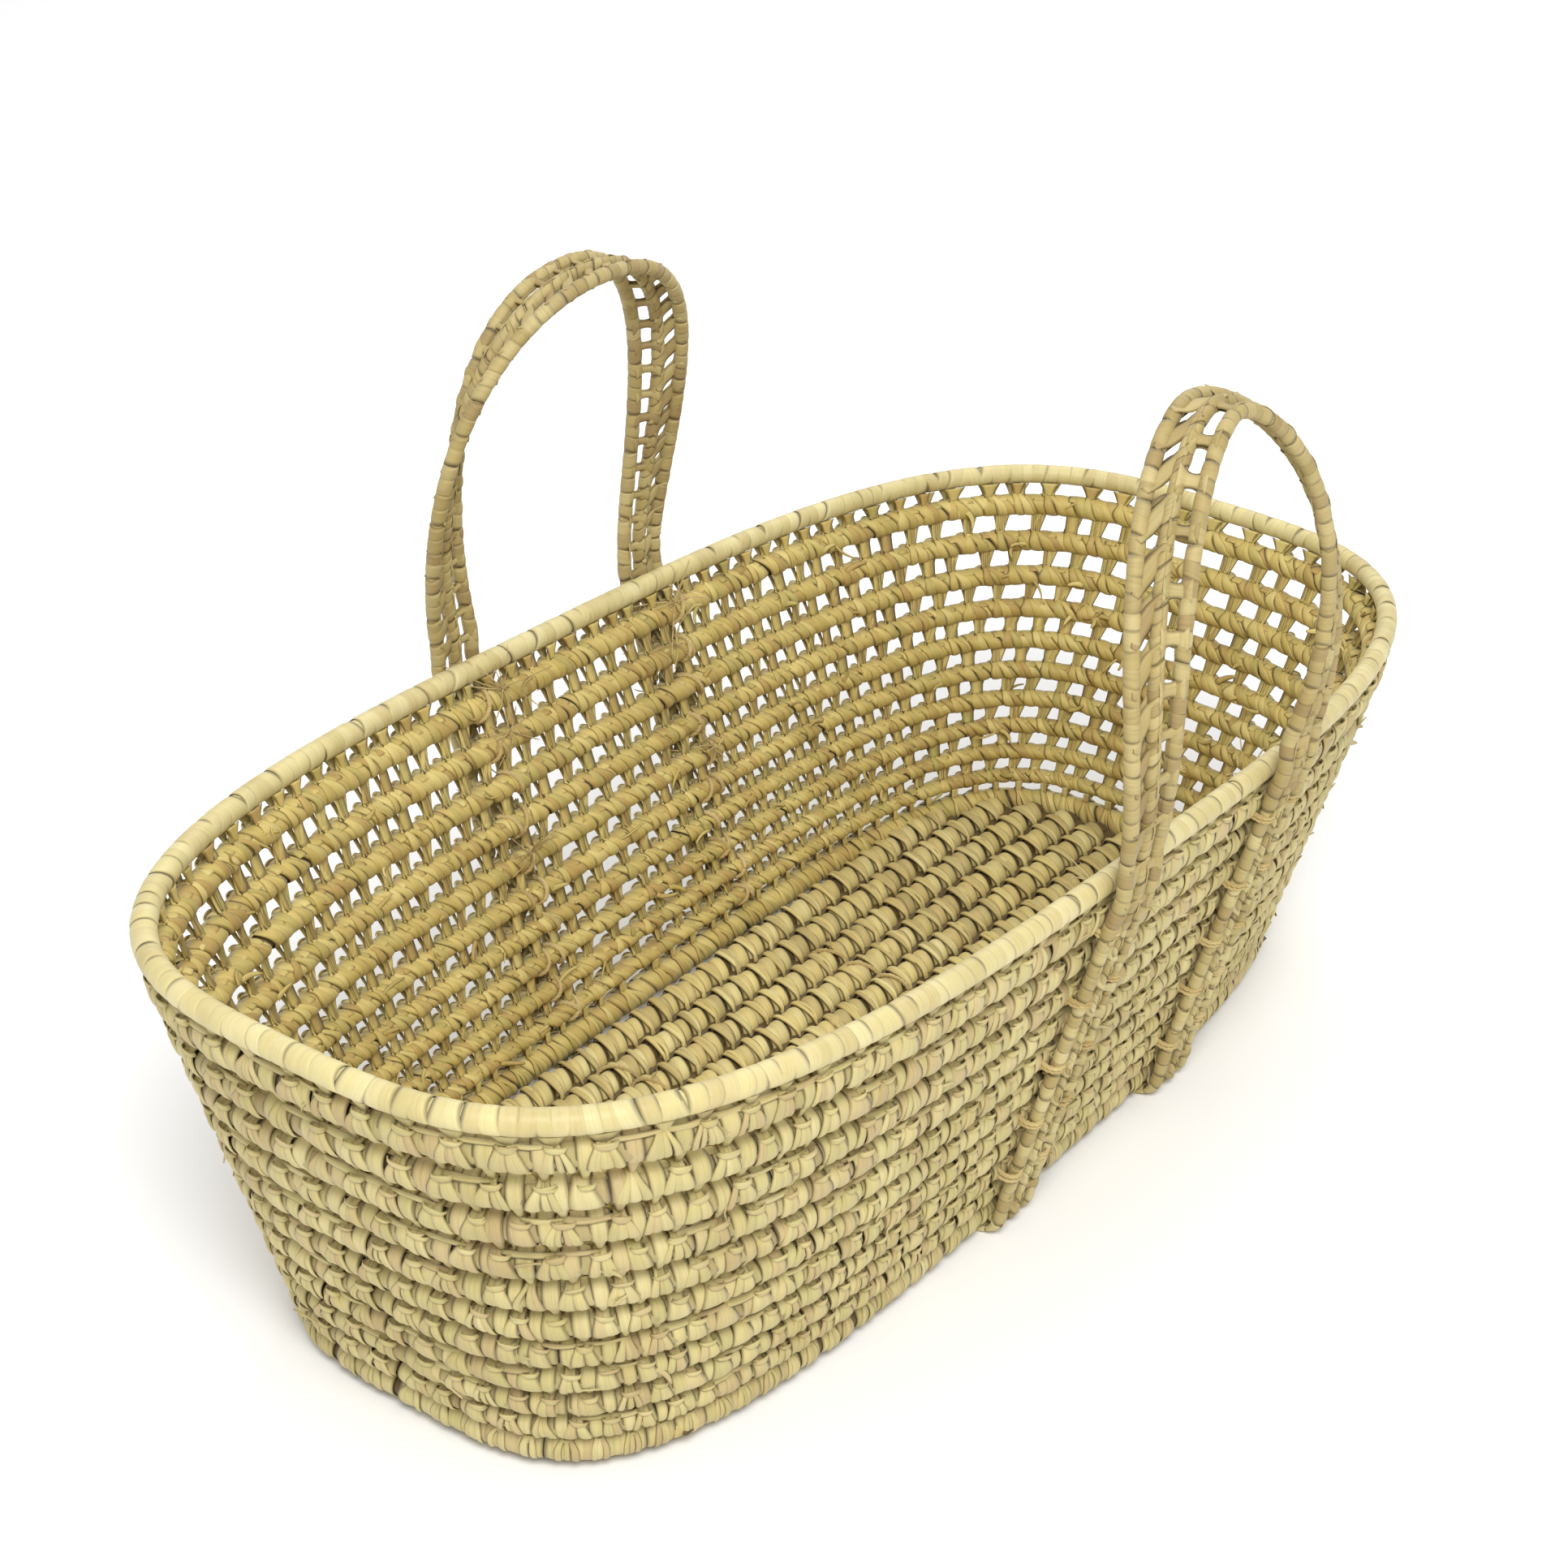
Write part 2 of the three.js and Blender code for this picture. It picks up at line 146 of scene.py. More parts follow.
class Guide:
    """A centre line and its two axes. Extras are values that change along it."""

    def __init__(self, centre, a_axis, b_axis, closed, extras=None):
        rows = [centre, a_axis, b_axis]
        if closed:
            rows = [np.vstack([r, r[:1]]) for r in rows]
        self.centre, self.a_axis, self.b_axis = rows
        self.stations = run_lengths(self.centre)
        self.length = self.stations[-1]
        self.closed = closed
        self.extras = {}
        for name, values in (extras or {}).items():
            self.extras[name] = np.append(values, values[:1]) if closed else values
        middle = len(self.centre) // 2
        along = self.centre[middle + 1] - self.centre[middle]
        axes = np.array([along, self.a_axis[middle], self.b_axis[middle]])
        self.flip = np.linalg.det(axes) < 0

    def wrap(self, u):
        """Distance along, brought back to one turn on a closed guide."""
        return np.mod(u, self.length) if self.closed else u

    def extra(self, name, u):
        return np.interp(self.wrap(u), self.stations, self.extras[name])

    def at_share(self, share):
        """Distance along a closed guide at a share of its stations."""
        turns = np.floor(share)
        index = (share - turns) * (len(self.stations) - 1)
        found = np.interp(index, np.arange(len(self.stations)), self.stations)
        return found + turns * self.length

    def place(self, local):
        """Points in the row frame. Past an open guide's ends they go straight on."""
        u = self.wrap(local[..., 0])
        centre = sample(self.centre, self.stations, u)
        if not self.closed:
            start = self.centre[1] - self.centre[0]
            end = self.centre[-1] - self.centre[-2]
            before = np.minimum(u, 0)[..., None]
            after = np.maximum(u - self.length, 0)[..., None]
            centre = centre + unit(start) * before + unit(end) * after
        out = sample(self.a_axis, self.stations, u) * local[..., 1:2]
        return centre + out + sample(self.b_axis, self.stations, u) * local[..., 2:3]


# Meshes are gathered as grids of points and joined into one object per piece


class Gather:
    """The quads of one piece, with the strip values of each point."""

    def __init__(self):
        self.points = []
        self.strips = []
        self.quads = []
        self.count = 0

    def grid(self, points, strip, flip, round_steps=False, caps=STRIP_CAPS):
        """points (pieces, steps, section, 3); strip (pieces, steps, section, 4)."""
        pieces, steps, section, _ = points.shape
        index = np.arange(pieces * steps * section).reshape(pieces, steps, section)
        ahead = np.roll(index, -1, axis=1)
        spans = index if round_steps else index[:, :-1]
        ahead = ahead if round_steps else ahead[:, :-1]
        side, ahead_side = np.roll(spans, -1, axis=2), np.roll(ahead, -1, axis=2)
        quads = np.stack([spans, side, ahead_side, ahead], -1).reshape(-1, 4)
        if caps and not round_steps:
            first = [index[:, 0][:, list(cap)[::-1]] for cap in caps]
            last = [index[:, -1][:, list(cap)] for cap in caps]
            quads = np.vstack([quads, *first, *last])
        if flip:
            quads = quads[:, ::-1]
        self.quads.append(quads + self.count)
        self.points.append(points.reshape(-1, 3))
        self.strips.append(strip.reshape(-1, 4))
        self.count += pieces * steps * section

    def build(self, name, material, replaces=(), body="basket"):
        points = np.vstack(self.points).astype(np.float32)
        quads = np.vstack(self.quads).astype(np.int32)
        strips = np.vstack(self.strips).astype(np.float32)
        mesh = bpy.data.meshes.new(name)
        mesh.vertices.add(len(points))
        mesh.vertices.foreach_set("co", points.ravel())
        mesh.loops.add(quads.size)
        mesh.loops.foreach_set("vertex_index", quads.ravel())
        mesh.polygons.add(len(quads))
        mesh.polygons.foreach_set("loop_start", np.arange(0, quads.size, 4, dtype=np.int32))
        mesh.polygons.foreach_set("use_smooth", np.ones(len(quads), bool))
        mesh.update(calc_edges=True)
        strip = mesh.attributes.new("strip", "FLOAT_COLOR", "POINT")
        strip.data.foreach_set("color", strips.ravel())
        mesh.materials.append(material)
        piece = bpy.data.objects.new(name, mesh)
        bpy.context.scene.collection.objects.link(piece)
        if body:
            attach(piece, body)
        if replaces:
            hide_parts(*replaces)
        return piece


def strip_values(shape, *channels):
    """What the materials read at each point: tone, places across and along, outside or in."""
    strip = np.empty((*shape, 4))
    for channel, values in enumerate(channels):
        strip[..., channel] = values
    return strip


def lay_ribbons(gather, guide, path, wide, normal, half_width, crown, tilt, tone):
    """Lays thin leaf ribbons. path, wide, normal (pieces, steps, 3) in guide coordinates."""
    pieces, steps, _ = path.shape
    full = (pieces, steps)
    half_width = np.broadcast_to(half_width, full)
    crown = np.broadcast_to(crown, full)
    tilt = np.broadcast_to(tilt, full)
    height = crown[..., None] * CROWN_SHARE + LEAF_THICKNESS * SKIN_SHARE + tilt[..., None] * ACROSS
    across = half_width[..., None] * ACROSS
    local = path[:, :, None, :] + wide[:, :, None, :] * across[..., None]
    local = local + normal[:, :, None, :] * height[..., None]
    step = np.linalg.norm(np.diff(path, axis=1), axis=2)
    along = np.concatenate([np.zeros((pieces, 1)), np.cumsum(step, axis=1)], axis=1)
    outside = smooth(path[..., 1], -3 * MM, 3 * MM)[..., None]
    tone = np.reshape(tone, (-1, 1, 1))
    strip = strip_values(
        (*full, len(ACROSS)), tone, 0.5 + 0.5 * ACROSS, along[..., None] * 10, outside
    )
    gather.grid(guide.place(local), strip, guide.flip)


def lay_loops(
    gather, guide, rng, at, out, tall, width,
    first=80, turn=368, steps=26, offset=(0, 0), skew=0, under=0, lean=0, slant=0,
    lift=0.3 * MM, uneven=0.35 * MM, crown=0.35 * MM, tilt=0.3 * MM,
):
    """Strips wound once round a coil of half sizes out and tall, from on top, down the
    inside and back up the outside. They lean along the coil on the inside only."""
    count = len(at)
    angle = math.radians(first) + np.linspace(0, 1, steps) * math.radians(turn)
    lift = lift + rng.uniform(0, uneven, count)
    lean = lean * rng.uniform(0.75, 1.25, count)
    slant = slant * rng.uniform(-1, 1, count)
    across = np.cos(angle)[None, :]
    upward = np.sin(angle)[None, :]
    radius_a = np.reshape(out, (-1, 1)) + lift[:, None]
    radius_b = np.reshape(tall, (-1, 1)) + lift[:, None]
    down = smooth(angle, math.radians(95), math.radians(265))[None, :]
    u = at[:, None] - lean[:, None] * down + (slant[:, None] + skew) * upward
    path = np.stack([u, offset[0] + radius_a * across, offset[1] + radius_b * upward], -1)
    normal = unit(np.stack([0 * u, across / radius_a, upward / radius_b], -1))
    half = (width / 2 * rng.uniform(0.86, 1.14, count))[:, None]
    crown = crown * rng.uniform(0.6, 1.4, (count, 1))
    tilt = rng.uniform(0.1, 1, (count, 1)) * tilt
    tones = rng.random(count) + under
    lay_ribbons(gather, guide, path, every(path, 0), normal, half, crown, tilt, tones)


def section(angle, out, tall, box):
    """Points and normals round a coil's section: box 1 is an ellipse, less is squarer."""
    c, s = np.cos(angle), np.sin(angle)
    facing_a, facing_b = signed_power(c, 2 - box) / out, signed_power(s, 2 - box) / tall
    return out * signed_power(c, box), tall * signed_power(s, box), facing_a, facing_b


def pleat_sides(rng, places, out, tall, reach, first, last, box, neck_out, fan_steps):
    """Side view of each pleat: the neck in the gap, then the fan down over the coil."""
    count = len(places)
    lift = (0.5 + 0.3 * np.abs(places)) * MM + rng.uniform(0, 0.4 * MM, count)
    first = math.radians(first)
    last = math.radians(last) + rng.uniform(-0.15, 0.12, count)
    fan = np.linspace(0, 1, fan_steps)[None, :]
    angle = first + fan * (last[:, None] - first)
    fan_a, fan_b, facing_a, facing_b = section(angle, out + lift[:, None], (tall + lift)[:, None], box)
    neck = np.linspace(0, 1, NECK_STEPS, endpoint=False)[None, :]
    neck_top = (tall + reach + 1.5 * MM)[:, None]
    neck_out = neck_out + rng.uniform(0, 1.2 * MM, (count, 1))
    a = np.hstack([neck_out + neck**2 * (fan_a[:, :1] - neck_out), fan_a])
    b = np.hstack([neck_top + neck * (fan_b[:, :1] - neck_top), fan_b])
    mix = np.hstack([0.6 * neck * np.ones((count, 1)), np.ones_like(angle)])
    facing_a = np.hstack([np.ones((count, NECK_STEPS)), facing_a])
    facing_b = np.hstack([np.zeros((count, NECK_STEPS)), facing_b]) * mix
    return fan, neck, a, b, facing_a, facing_b


def lay_pleats(
    gather, guide, rng, at, out, tall, reach, side, folds,
    first=76, last=-84, box=1, neck_out=0.3 * MM, fan_steps=10, opens=(0, 0.55),
    lean=0, neck_lean=0, arc=0, scale=1.0,
    pinch=1.5 * MM, spread=4.2 * MM, narrow=1.6 * MM, broad=3.0 * MM, crown=0.4 * MM,
):
    """Strips that come down out of the coil above, pinched together in the gap, and fan
    out over the outside (side 1) or the inside (side -1) of the coil below."""
    each = lambda values: np.repeat(np.broadcast_to(values, at.shape), folds)
    places = np.tile(np.linspace(-1, 1, folds), len(at))
    count = len(places)
    sides = pleat_sides(
        rng, places, out, each(tall), each(reach), first, last, box, neck_out, fan_steps
    )
    fan, neck, a, b, facing_a, facing_b = sides
    open_up = np.hstack([0 * neck, smooth(fan, *opens)])
    drop = np.hstack([0 * neck, fan])
    lean = lean * each(rng.uniform(0.7, 1.3, len(at)))
    stray = rng.normal(0, 0.7 * MM, (count, 1))
    scale = each(scale)[:, None]
    sideways = scale * places[:, None] * (pinch + (spread - pinch) * open_up) + stray * open_up
    arc = arc * each(rng.uniform(0.3, 1, len(at)))[:, None]
    sideways[:, NECK_STEPS:] -= arc * np.sin(math.pi * fan)
    sideways[:, :NECK_STEPS] -= neck_lean * (1 - neck)
    path = np.stack([each(at)[:, None] + sideways - lean[:, None] * drop, side * a, b], -1)
    normal = unit(np.stack([0 * a, side * facing_a, facing_b], -1))
    broad = broad * rng.uniform(0.75, 1.25, (count, 1))
    half = (narrow + (broad - narrow) * open_up) * scale
    crown = 0.8 * MM * (1 - open_up) + crown * open_up
    tilt = rng.uniform(-0.5, 0.5, (count, 1)) * MM * open_up
    wide = every(path, 0)
    lay_ribbons(gather, guide, path, wide, normal, half, crown, tilt, rng.random(count))


def lay_bows(
    gather, guide, rng, at, level, out, side, reach=4.6 * MM, half=2.1 * MM, bulge=2.0 * MM
):
    """Short strips tied across the pinched pleats, lying along the coil."""
    count = len(at)
    reach = (reach * rng.uniform(0.85, 1.2, count))[:, None]
    turn = np.linspace(-1, 1, 9)[None, :]
    slope = rng.uniform(-0.3, 0.3, count)[:, None]
    level = np.reshape(np.broadcast_to(level, (count,)), (-1, 1))
    arc = np.sqrt(np.maximum(0, 1 - turn**2))
    b = level + reach * turn * slope - 0.8 * MM * turn**2
    path = np.stack([at[:, None] + reach * turn, side * (out + bulge * arc) + 0 * b, b], -1)
    outward = unit(np.stack([turn * 0.7 + 0 * b, side * (0.3 + arc) + 0 * b, 0.25 + 0 * b], -1))
    wide = unit(np.stack([-slope + 0 * b, 0 * b, 1 + 0 * b], -1))
    half = np.reshape(half, (-1, 1)) * rng.uniform(0.8, 1.2, (count, 1)) * (1 - 0.35 * turn**2)
    lay_ribbons(gather, guide, path, wide, outward, half, 0.5 * MM, 0, rng.random(count))


def lay_core(gather, guide, out, tall, tone, offset=(0, 0)):
    """The fibre bundle inside a coil or cord; the floor also lays a flat sheet of painted shade with it.
    """
    sides = 12
    stations = int(guide.length / CORE_STEP)
    u = np.linspace(0, guide.length, stations, endpoint=not guide.closed)
    angle = -np.arange(sides) / sides * 2 * math.pi
    out = np.reshape(out(u) if callable(out) else np.full(stations, out), (-1, 1))
    tall = np.reshape(tall(u) if callable(tall) else np.full(stations, tall), (-1, 1))
    a = offset[0] + out * np.cos(angle)
    b = offset[1] + tall * np.sin(angle)
    local = np.stack([u[:, None] + 0 * a, a, b], -1)[None]
    around = np.arange(sides) / sides
    strip = strip_values(local.shape[:-1], tone, around, u[None, :, None] * 10, 0.5)
    caps = ((0, 1, 2, 11), (11, 2, 3, 10), (10, 3, 4, 9), (9, 4, 5, 8), (8, 5, 6, 7))
    gather.grid(guide.place(local), strip, guide.flip, round_steps=guide.closed, caps=caps)


# Basket rings


def oblong(half_length, half_width, shape, t):
    """Points of a rounded oblong at angles t; shape 2 is an ellipse, more is squarer."""
    power = 2 / shape
    return half_length * signed_power(np.cos(t), power), half_width * signed_power(np.sin(t), power)


def even_angles(half_length, half_width, shape, count):
    """Angles at which points lie evenly round an oblong."""
    t = np.linspace(0, 2 * math.pi, 20001)
    x, y = oblong(half_length, half_width, shape, t)
    lengths = np.concatenate([[0], np.cumsum(np.hypot(np.diff(x), np.diff(y)))])
    return np.interp(np.arange(count) / count * lengths[-1], lengths, t)


RING_ANGLES = even_angles(RIM_HALF_LENGTH, RIM_HALF_WIDTH, RIM_SHAPE, 1500)


def wall_axes():
    """The wall's foot, upward and outward directions and height, all round the ring."""
    x, y = oblong(RIM_HALF_LENGTH, RIM_HALF_WIDTH, RIM_SHAPE, RING_ANGLES)
    high = np.stack([x, y, RIM_HEIGHT - HEAD_RISE * x / RIM_HALF_LENGTH], -1)
    x, y = oblong(BASE_HALF_LENGTH, BASE_HALF_WIDTH, BASE_SHAPE, RING_ANGLES)
    low = np.stack([x, y, np.full_like(x, BASE_LEVEL)], -1)
    height = np.linalg.norm(high - low, axis=1)
    up = unit(high - low)
    along = unit(np.roll(high, -4, axis=0) - np.roll(high, 4, axis=0))
    out = unit(np.cross(along, up))
    for _ in range(40):
        out = unit(0.5 * out + 0.25 * (np.roll(out, 1, axis=0) + np.roll(out, -1, axis=0)))
    return low, up, out, height


LOW, UP, OUT, WALL_HEIGHT = wall_axes()


def height_share(count):
    """Share of the wall that its lowest coils take up."""
    slope = (TOP_COIL_WEIGHT - BOTTOM_COIL_WEIGHT) / (WALL_COILS - 1)
    weights = BOTTOM_COIL_WEIGHT + slope * np.arange(WALL_COILS)
    return weights[:count].sum() / weights.sum()


def coil_limits(index):
    """Heights up the wall where coil `index` starts and ends, all round the ring."""
    start = BASE_COIL_CORNER + COIL_GAP / 2
    span = WALL_HEIGHT - start - (RIM_ROD_RADIUS + COIL_GAP / 2)
    return start + span * height_share(index - 1), start + span * height_share(index)


def coil_pitch(index):
    bottom, top = coil_limits(index)
    return top - bottom


def coil_half_height(pitch):
    return 0.25 * pitch - 0.5 * MM


def gap_height(pitch, other):
    """Open height between two neighbouring coils of these pitches."""
    return (pitch + other) / 2 - coil_half_height(pitch) - coil_half_height(other)


EDGE_RADIUS = 7.0 * MM  # of the wrapped ring round the floor

# How far the outer strips stand past the coils, up and down: more on the head and near sides
LOOSE = (0.5 - 1.0 * np.tanh(OUT @ [1.2, 2.0, 0])) * MM


def wall_guide(index):
    """A wall coil's centre line, with its half height and the gaps above and below it."""
    bottom, top = coil_limits(index)
    pitch = top - bottom
    tall = coil_half_height(pitch)
    level = (bottom + top) / 2
    centre = LOW + UP * level[:, None]
    reach, reach_below = pitch / 2 - tall + COIL_GAP / 2, level - tall - EDGE_RADIUS
    if index < WALL_COILS:
        reach = gap_height(pitch, coil_pitch(index + 1))
    if index > 1:
        reach_below = gap_height(pitch, coil_pitch(index - 1))
    extras = {"tall": tall, "reach": reach, "reach_below": reach_below, "loose": LOOSE}
    return Guide(centre, OUT, UP, True, extras)


def spaced(rng, guide, count, spread, start=0.5):
    """Places along a guide, evenly apart but for a random share of their distance."""
    places = np.arange(count) + start + rng.uniform(-spread, spread, count)
    return places * guide.length / count


WALL_OUT = 5.8 * MM
SIDE_STITCH = 17.4 * MM  # from bow to bow along the long sides
END_STITCH = 22.6 * MM  # and round the ends, at the rim
WIDE_STITCH = 19.5 * MM  # beyond this a stitch has one more outer pleat
WIDE_INNER_STITCH = 20 * MM  # and its inner pleats are drawn closer
BOX = 0.85  # how square the outer strips fold over a coil; 1 is round
UNDER = 2  # added to a strip's tone where it lies under others; on the outside the material darkens these strips as painted shade


def bow_shares():
    """Where each ring's bows sit, as shares of the way round: each between two below."""
    rng = np.random.default_rng(5)
    rim = LOW + UP * WALL_HEIGHT[:, None]
    step = np.linalg.norm(np.roll(rim, -1, axis=0) - rim, axis=1)
    pitch = SIDE_STITCH + (END_STITCH - SIDE_STITCH) * smooth(np.abs(OUT[:, 0]), 0.03, 0.35)
    passed = np.concatenate([[0], np.cumsum(step / pitch)])
    count = round(passed[-1])
    station = np.linspace(0, 1, len(passed))
    shares = []
    for ring in range(WALL_COILS + 1):
        place = np.arange(count) + 0.5 * (ring % 2) + rng.uniform(-0.13, 0.13, count)
        found = np.interp(np.mod(place / count, 1), passed / passed[-1], station)
        shares.append(np.sort(found))
    return shares


BOWS = bow_shares()


def local_pitch(guide, at):
    """Mean distance from each bow to its neighbours."""
    ahead = np.mod(np.roll(at, -1) - at, guide.length)
    return (ahead + np.roll(ahead, 1)) / 2


def lay_slats(gather, guide, rng, at, out, tall, reach_below, half_width):
    """Flat strips down the outside of a coil that narrow into the bow of the coil below."""
    count = len(at)
    face_steps, foot_steps = 15, 5
    lift = 0.55 * MM + rng.uniform(0, 0.3 * MM, count)
    face = np.linspace(0, 1, face_steps)[None, :]
    angle = math.radians(150) + face * math.radians(-150 - 58)
    face_a, face_b, facing_a, facing_b = section(
        angle, out + lift[:, None], (tall + lift)[:, None], BOX
    )
    foot = np.linspace(0, 1, foot_steps + 1)[None, 1:]
    foot_a = face_a[:, -1:] + (-0.5 * MM - face_a[:, -1:]) * foot**1.2
    foot_b = face_b[:, -1:] + (-(tall + reach_below)[:, None] - face_b[:, -1:]) * foot
    path_a, path_b = np.hstack([face_a, foot_a]), np.hstack([face_b, foot_b])
    way = np.linspace(0, 1, face_steps + foot_steps)[None, :]
    drift = rng.normal(0, 0.8 * MM, (count, 1)) * (1 - way)
    path = np.stack([at[:, None] + drift, path_a, path_b], -1)
    normal_a = np.hstack([facing_a * out, 1 + 0 * foot_a])
    normal_b = np.hstack([facing_b * out, -0.3 * (1 - foot) + 0 * foot_a])
    normal = unit(np.stack([0 * path_a, normal_a, normal_b], -1))
    narrow = smooth(way, 0.55, 0.98)
    half = half_width[:, None] * (1 - 0.62 * narrow)
    crown = 0.25 * MM + 0.7 * MM * narrow + 0 * half
    tilt = rng.uniform(-0.35, 0.35, (count, 1)) * MM
    wide = every(path, 0)
    lay_ribbons(gather, guide, path, wide, normal, half, crown, tilt, rng.random(count))


def lay_runs(gather, guide, rng, at, ahead, tall):
    """Thin twisted strips that run along the top of a coil's outside from bow to bow."""
    count = len(at)
    steps = 12
    way = np.linspace(0, 1, steps)[None, :]
    u = at[:, None] + (ahead - at)[:, None] * way
    sag = rng.uniform(-0.6, 1.0, (count, 1)) * MM
    level = tall[:, None] + 1.2 * MM - sag * np.sin(math.pi * way)
    out = 2.6 * MM + rng.uniform(0, 1.2, (count, 1)) * MM * np.sin(math.pi * way)
    path = np.stack([u, out, level], -1)
    roll = rng.uniform(0.2, 1.4, (count, 1)) + rng.uniform(-0.9, 0.9, (count, 1)) * way
    wide = np.stack([0 * u, -np.sin(roll), np.cos(roll)], -1)
    normal = np.stack([0 * u, np.cos(roll), np.sin(roll)], -1)
    half = rng.uniform(1.3, 2.5, (count, 1)) * MM + 0 * u
    lay_ribbons(gather, guide, path, wide, normal, half, 0.6 * MM, 0, rng.random(count))


def wall_fans(gather, guide, rng, at, pitch, tall, reach):
    """One to four pleats at each bow, more where the bows are further apart."""
    extra = rng.random(len(at))
    wide_apart = pitch > WIDE_STITCH
    folds_of = np.where(wide_apart, 2 + (extra < 0.8), 1 + (extra < 0.5)) + (extra < 0.2)
    for folds in (1, 2, 3, 4):
        chosen = folds_of == folds
        lay_pleats(
            gather, guide, rng, at[chosen], WALL_OUT + 0.3 * MM, tall[chosen], reach[chosen], 1,
            folds=folds, scale=pitch[chosen] / END_STITCH, spread=(0.34 - 0.34 / folds) * END_STITCH,
            broad=(0.36 + 0.03 * folds) * END_STITCH / folds, narrow=5.0 * MM / folds, crown=0.7 * MM,
            arc=1.6 * MM, box=BOX, first=118, neck_out=-3 * MM, opens=(0.14, 0.72), fan_steps=15,
        )


def wall_slats(gather, guide, rng, index):
    below = guide.at_share(BOWS[index - 1])
    loose = guide.extra("loose", below)
    reach = guide.extra("reach_below", below) - loose
    room = 0.78 + 0.22 * np.clip(loose / MM, 0, 1)
    half = local_pitch(guide, below) * rng.uniform(0.2, 0.24, len(below)) * room
    tall = guide.extra("tall", below) + loose
    lay_slats(gather, guide, rng, below, WALL_OUT + 0.2 * MM, tall, reach, half)


def wall_knots(gather, guide, rng, index, at, tall, scale):
    """Bows over the pinched pleats and runs between them, bolder where the weave is loose."""
    share = np.clip(guide.extra("loose", at) / MM, 0, 1)
    tied = rng.random(len(at)) < 0.9
    lay_bows(
        gather, guide, rng, at[tied], (tall + (0.2 + 1.0 * share) * MM)[tied], 3.8 * MM, 1,
        reach=5.0 * MM * scale[tied], half=((1.6 + 1.0 * share) * MM * scale**0.5)[tied], bulge=2.8 * MM,
    )
    tied = rng.random(len(at)) < 0.35 * share
    lay_bows(
        gather, guide, rng, at[tied], tall[tied] + 2.4 * MM, 4.4 * MM, 1, half=1.4 * MM, reach=4 * MM
    )
    run = rng.random(len(at)) < (0.85 if index == WALL_COILS else 0.4) * share
    ahead = np.append(at[1:], at[0] + guide.length)
    lay_runs(gather, guide, rng, at[run], ahead[run], tall[run])


def wall_outside(gather, guide, rng, index, at, pitch):
    loose = guide.extra("loose", at)
    tall = guide.extra("tall", at) + loose
    wall_fans(gather, guide, rng, at, pitch, tall, guide.extra("reach", at) - loose)
    wall_slats(gather, guide, rng, index)
    wall_knots(gather, guide, rng, index, at, tall, pitch / END_STITCH)


def wall_inside(gather, guide, rng, at, pitch):
    for share in (0.25, 0.72):
        place = at + pitch * (share + rng.uniform(-0.07, 0.07, len(at)))
        lay_loops(
            gather, guide, rng, place, WALL_OUT, guide.extra("tall", place), width=0.6 * pitch,
            lean=9 * MM, tilt=0.5 * MM, crown=0.4 * MM, under=UNDER,
        )
    tall = guide.extra("tall", at)
    reach = guide.extra("reach", at)
    wide_apart = pitch > WIDE_INNER_STITCH
    for chosen, narrow, pinch in ((wide_apart, 2.1 * MM, 1.1 * MM), (~wide_apart, 3 * MM, 1.8 * MM)):
        lay_pleats(
            gather, guide, rng, at[chosen], WALL_OUT, tall[chosen], reach[chosen], -1, folds=2,
            scale=pitch[chosen] / END_STITCH, lean=8 * MM, neck_lean=4 * MM, broad=4.8 * MM,
            narrow=narrow, pinch=pinch,
        )
    tied = rng.random(len(at)) < 0.4
    lay_bows(
        gather, guide, rng, at[tied], tall[tied] + 0.8 * MM, 1.4 * MM, -1, half=1.2 * MM, reach=2.6 * MM
    )


def lay_strays(gather, guide, rng, count, side):
    """Loose ends of leaf that stick out of the weave."""
    steps = 7
    way = np.linspace(0, 1, steps)[None, :]
    at = rng.uniform(0, guide.length, count)[:, None]
    heading = rng.uniform(-1.2, 1.2, (count, 1)) + math.pi * (rng.random((count, 1)) < 0.5)
    length = rng.uniform(7, 18, (count, 1)) * MM
    bend = rng.uniform(-0.8, 0.8, (count, 1)) * way
    u = at + length * way * np.cos(heading + bend)
    b = rng.uniform(-4, 4, (count, 1)) * MM + length * way * np.sin(heading + bend) * 0.7
    a = side * (WALL_OUT + 0.6 * MM + rng.uniform(1, 4.5, (count, 1)) * MM * way**1.5)
    path = np.stack([u, a + 0 * u, b], -1)
    along = unit(np.gradient(path, axis=1))
    normal = every(path, 1, side)
    wide = unit(np.cross(along, normal))
    half = rng.uniform(0.7, 2.2, (count, 1)) * MM * (1 - 0.6 * way**2)
    lay_ribbons(gather, guide, path, wide, normal, half, 0.4 * MM, 0, rng.random(count))


def lay_gussets(gather, guide, rng, at, pitch, tall, reach):
    """Strips that widen upwards from the top coil to the rim and leave small triangles."""
    count, steps = len(at), 7
    way = np.linspace(0, 1, steps)[None, :]
    for side in (1, -1):
        level = (tall - 1.5 * MM)[:, None] + (reach + 3.5 * MM)[:, None] * way
        out = side * (2.2 * MM + 1.4 * MM * way) + 0 * level
        u = at[:, None] + rng.normal(0, 0.8, (count, 1)) * MM + 0 * level
        path = np.stack([u, out, level], -1)
        wide, normal = every(path, 0), every(path, 1, side)
        half = (0.09 + 0.2 * way**1.5) * pitch[:, None] * rng.uniform(0.8, 1.2, (count, 1))
        lay_ribbons(gather, guide, path, wide, normal, half, 0.6 * MM, 0, rng.random(count))


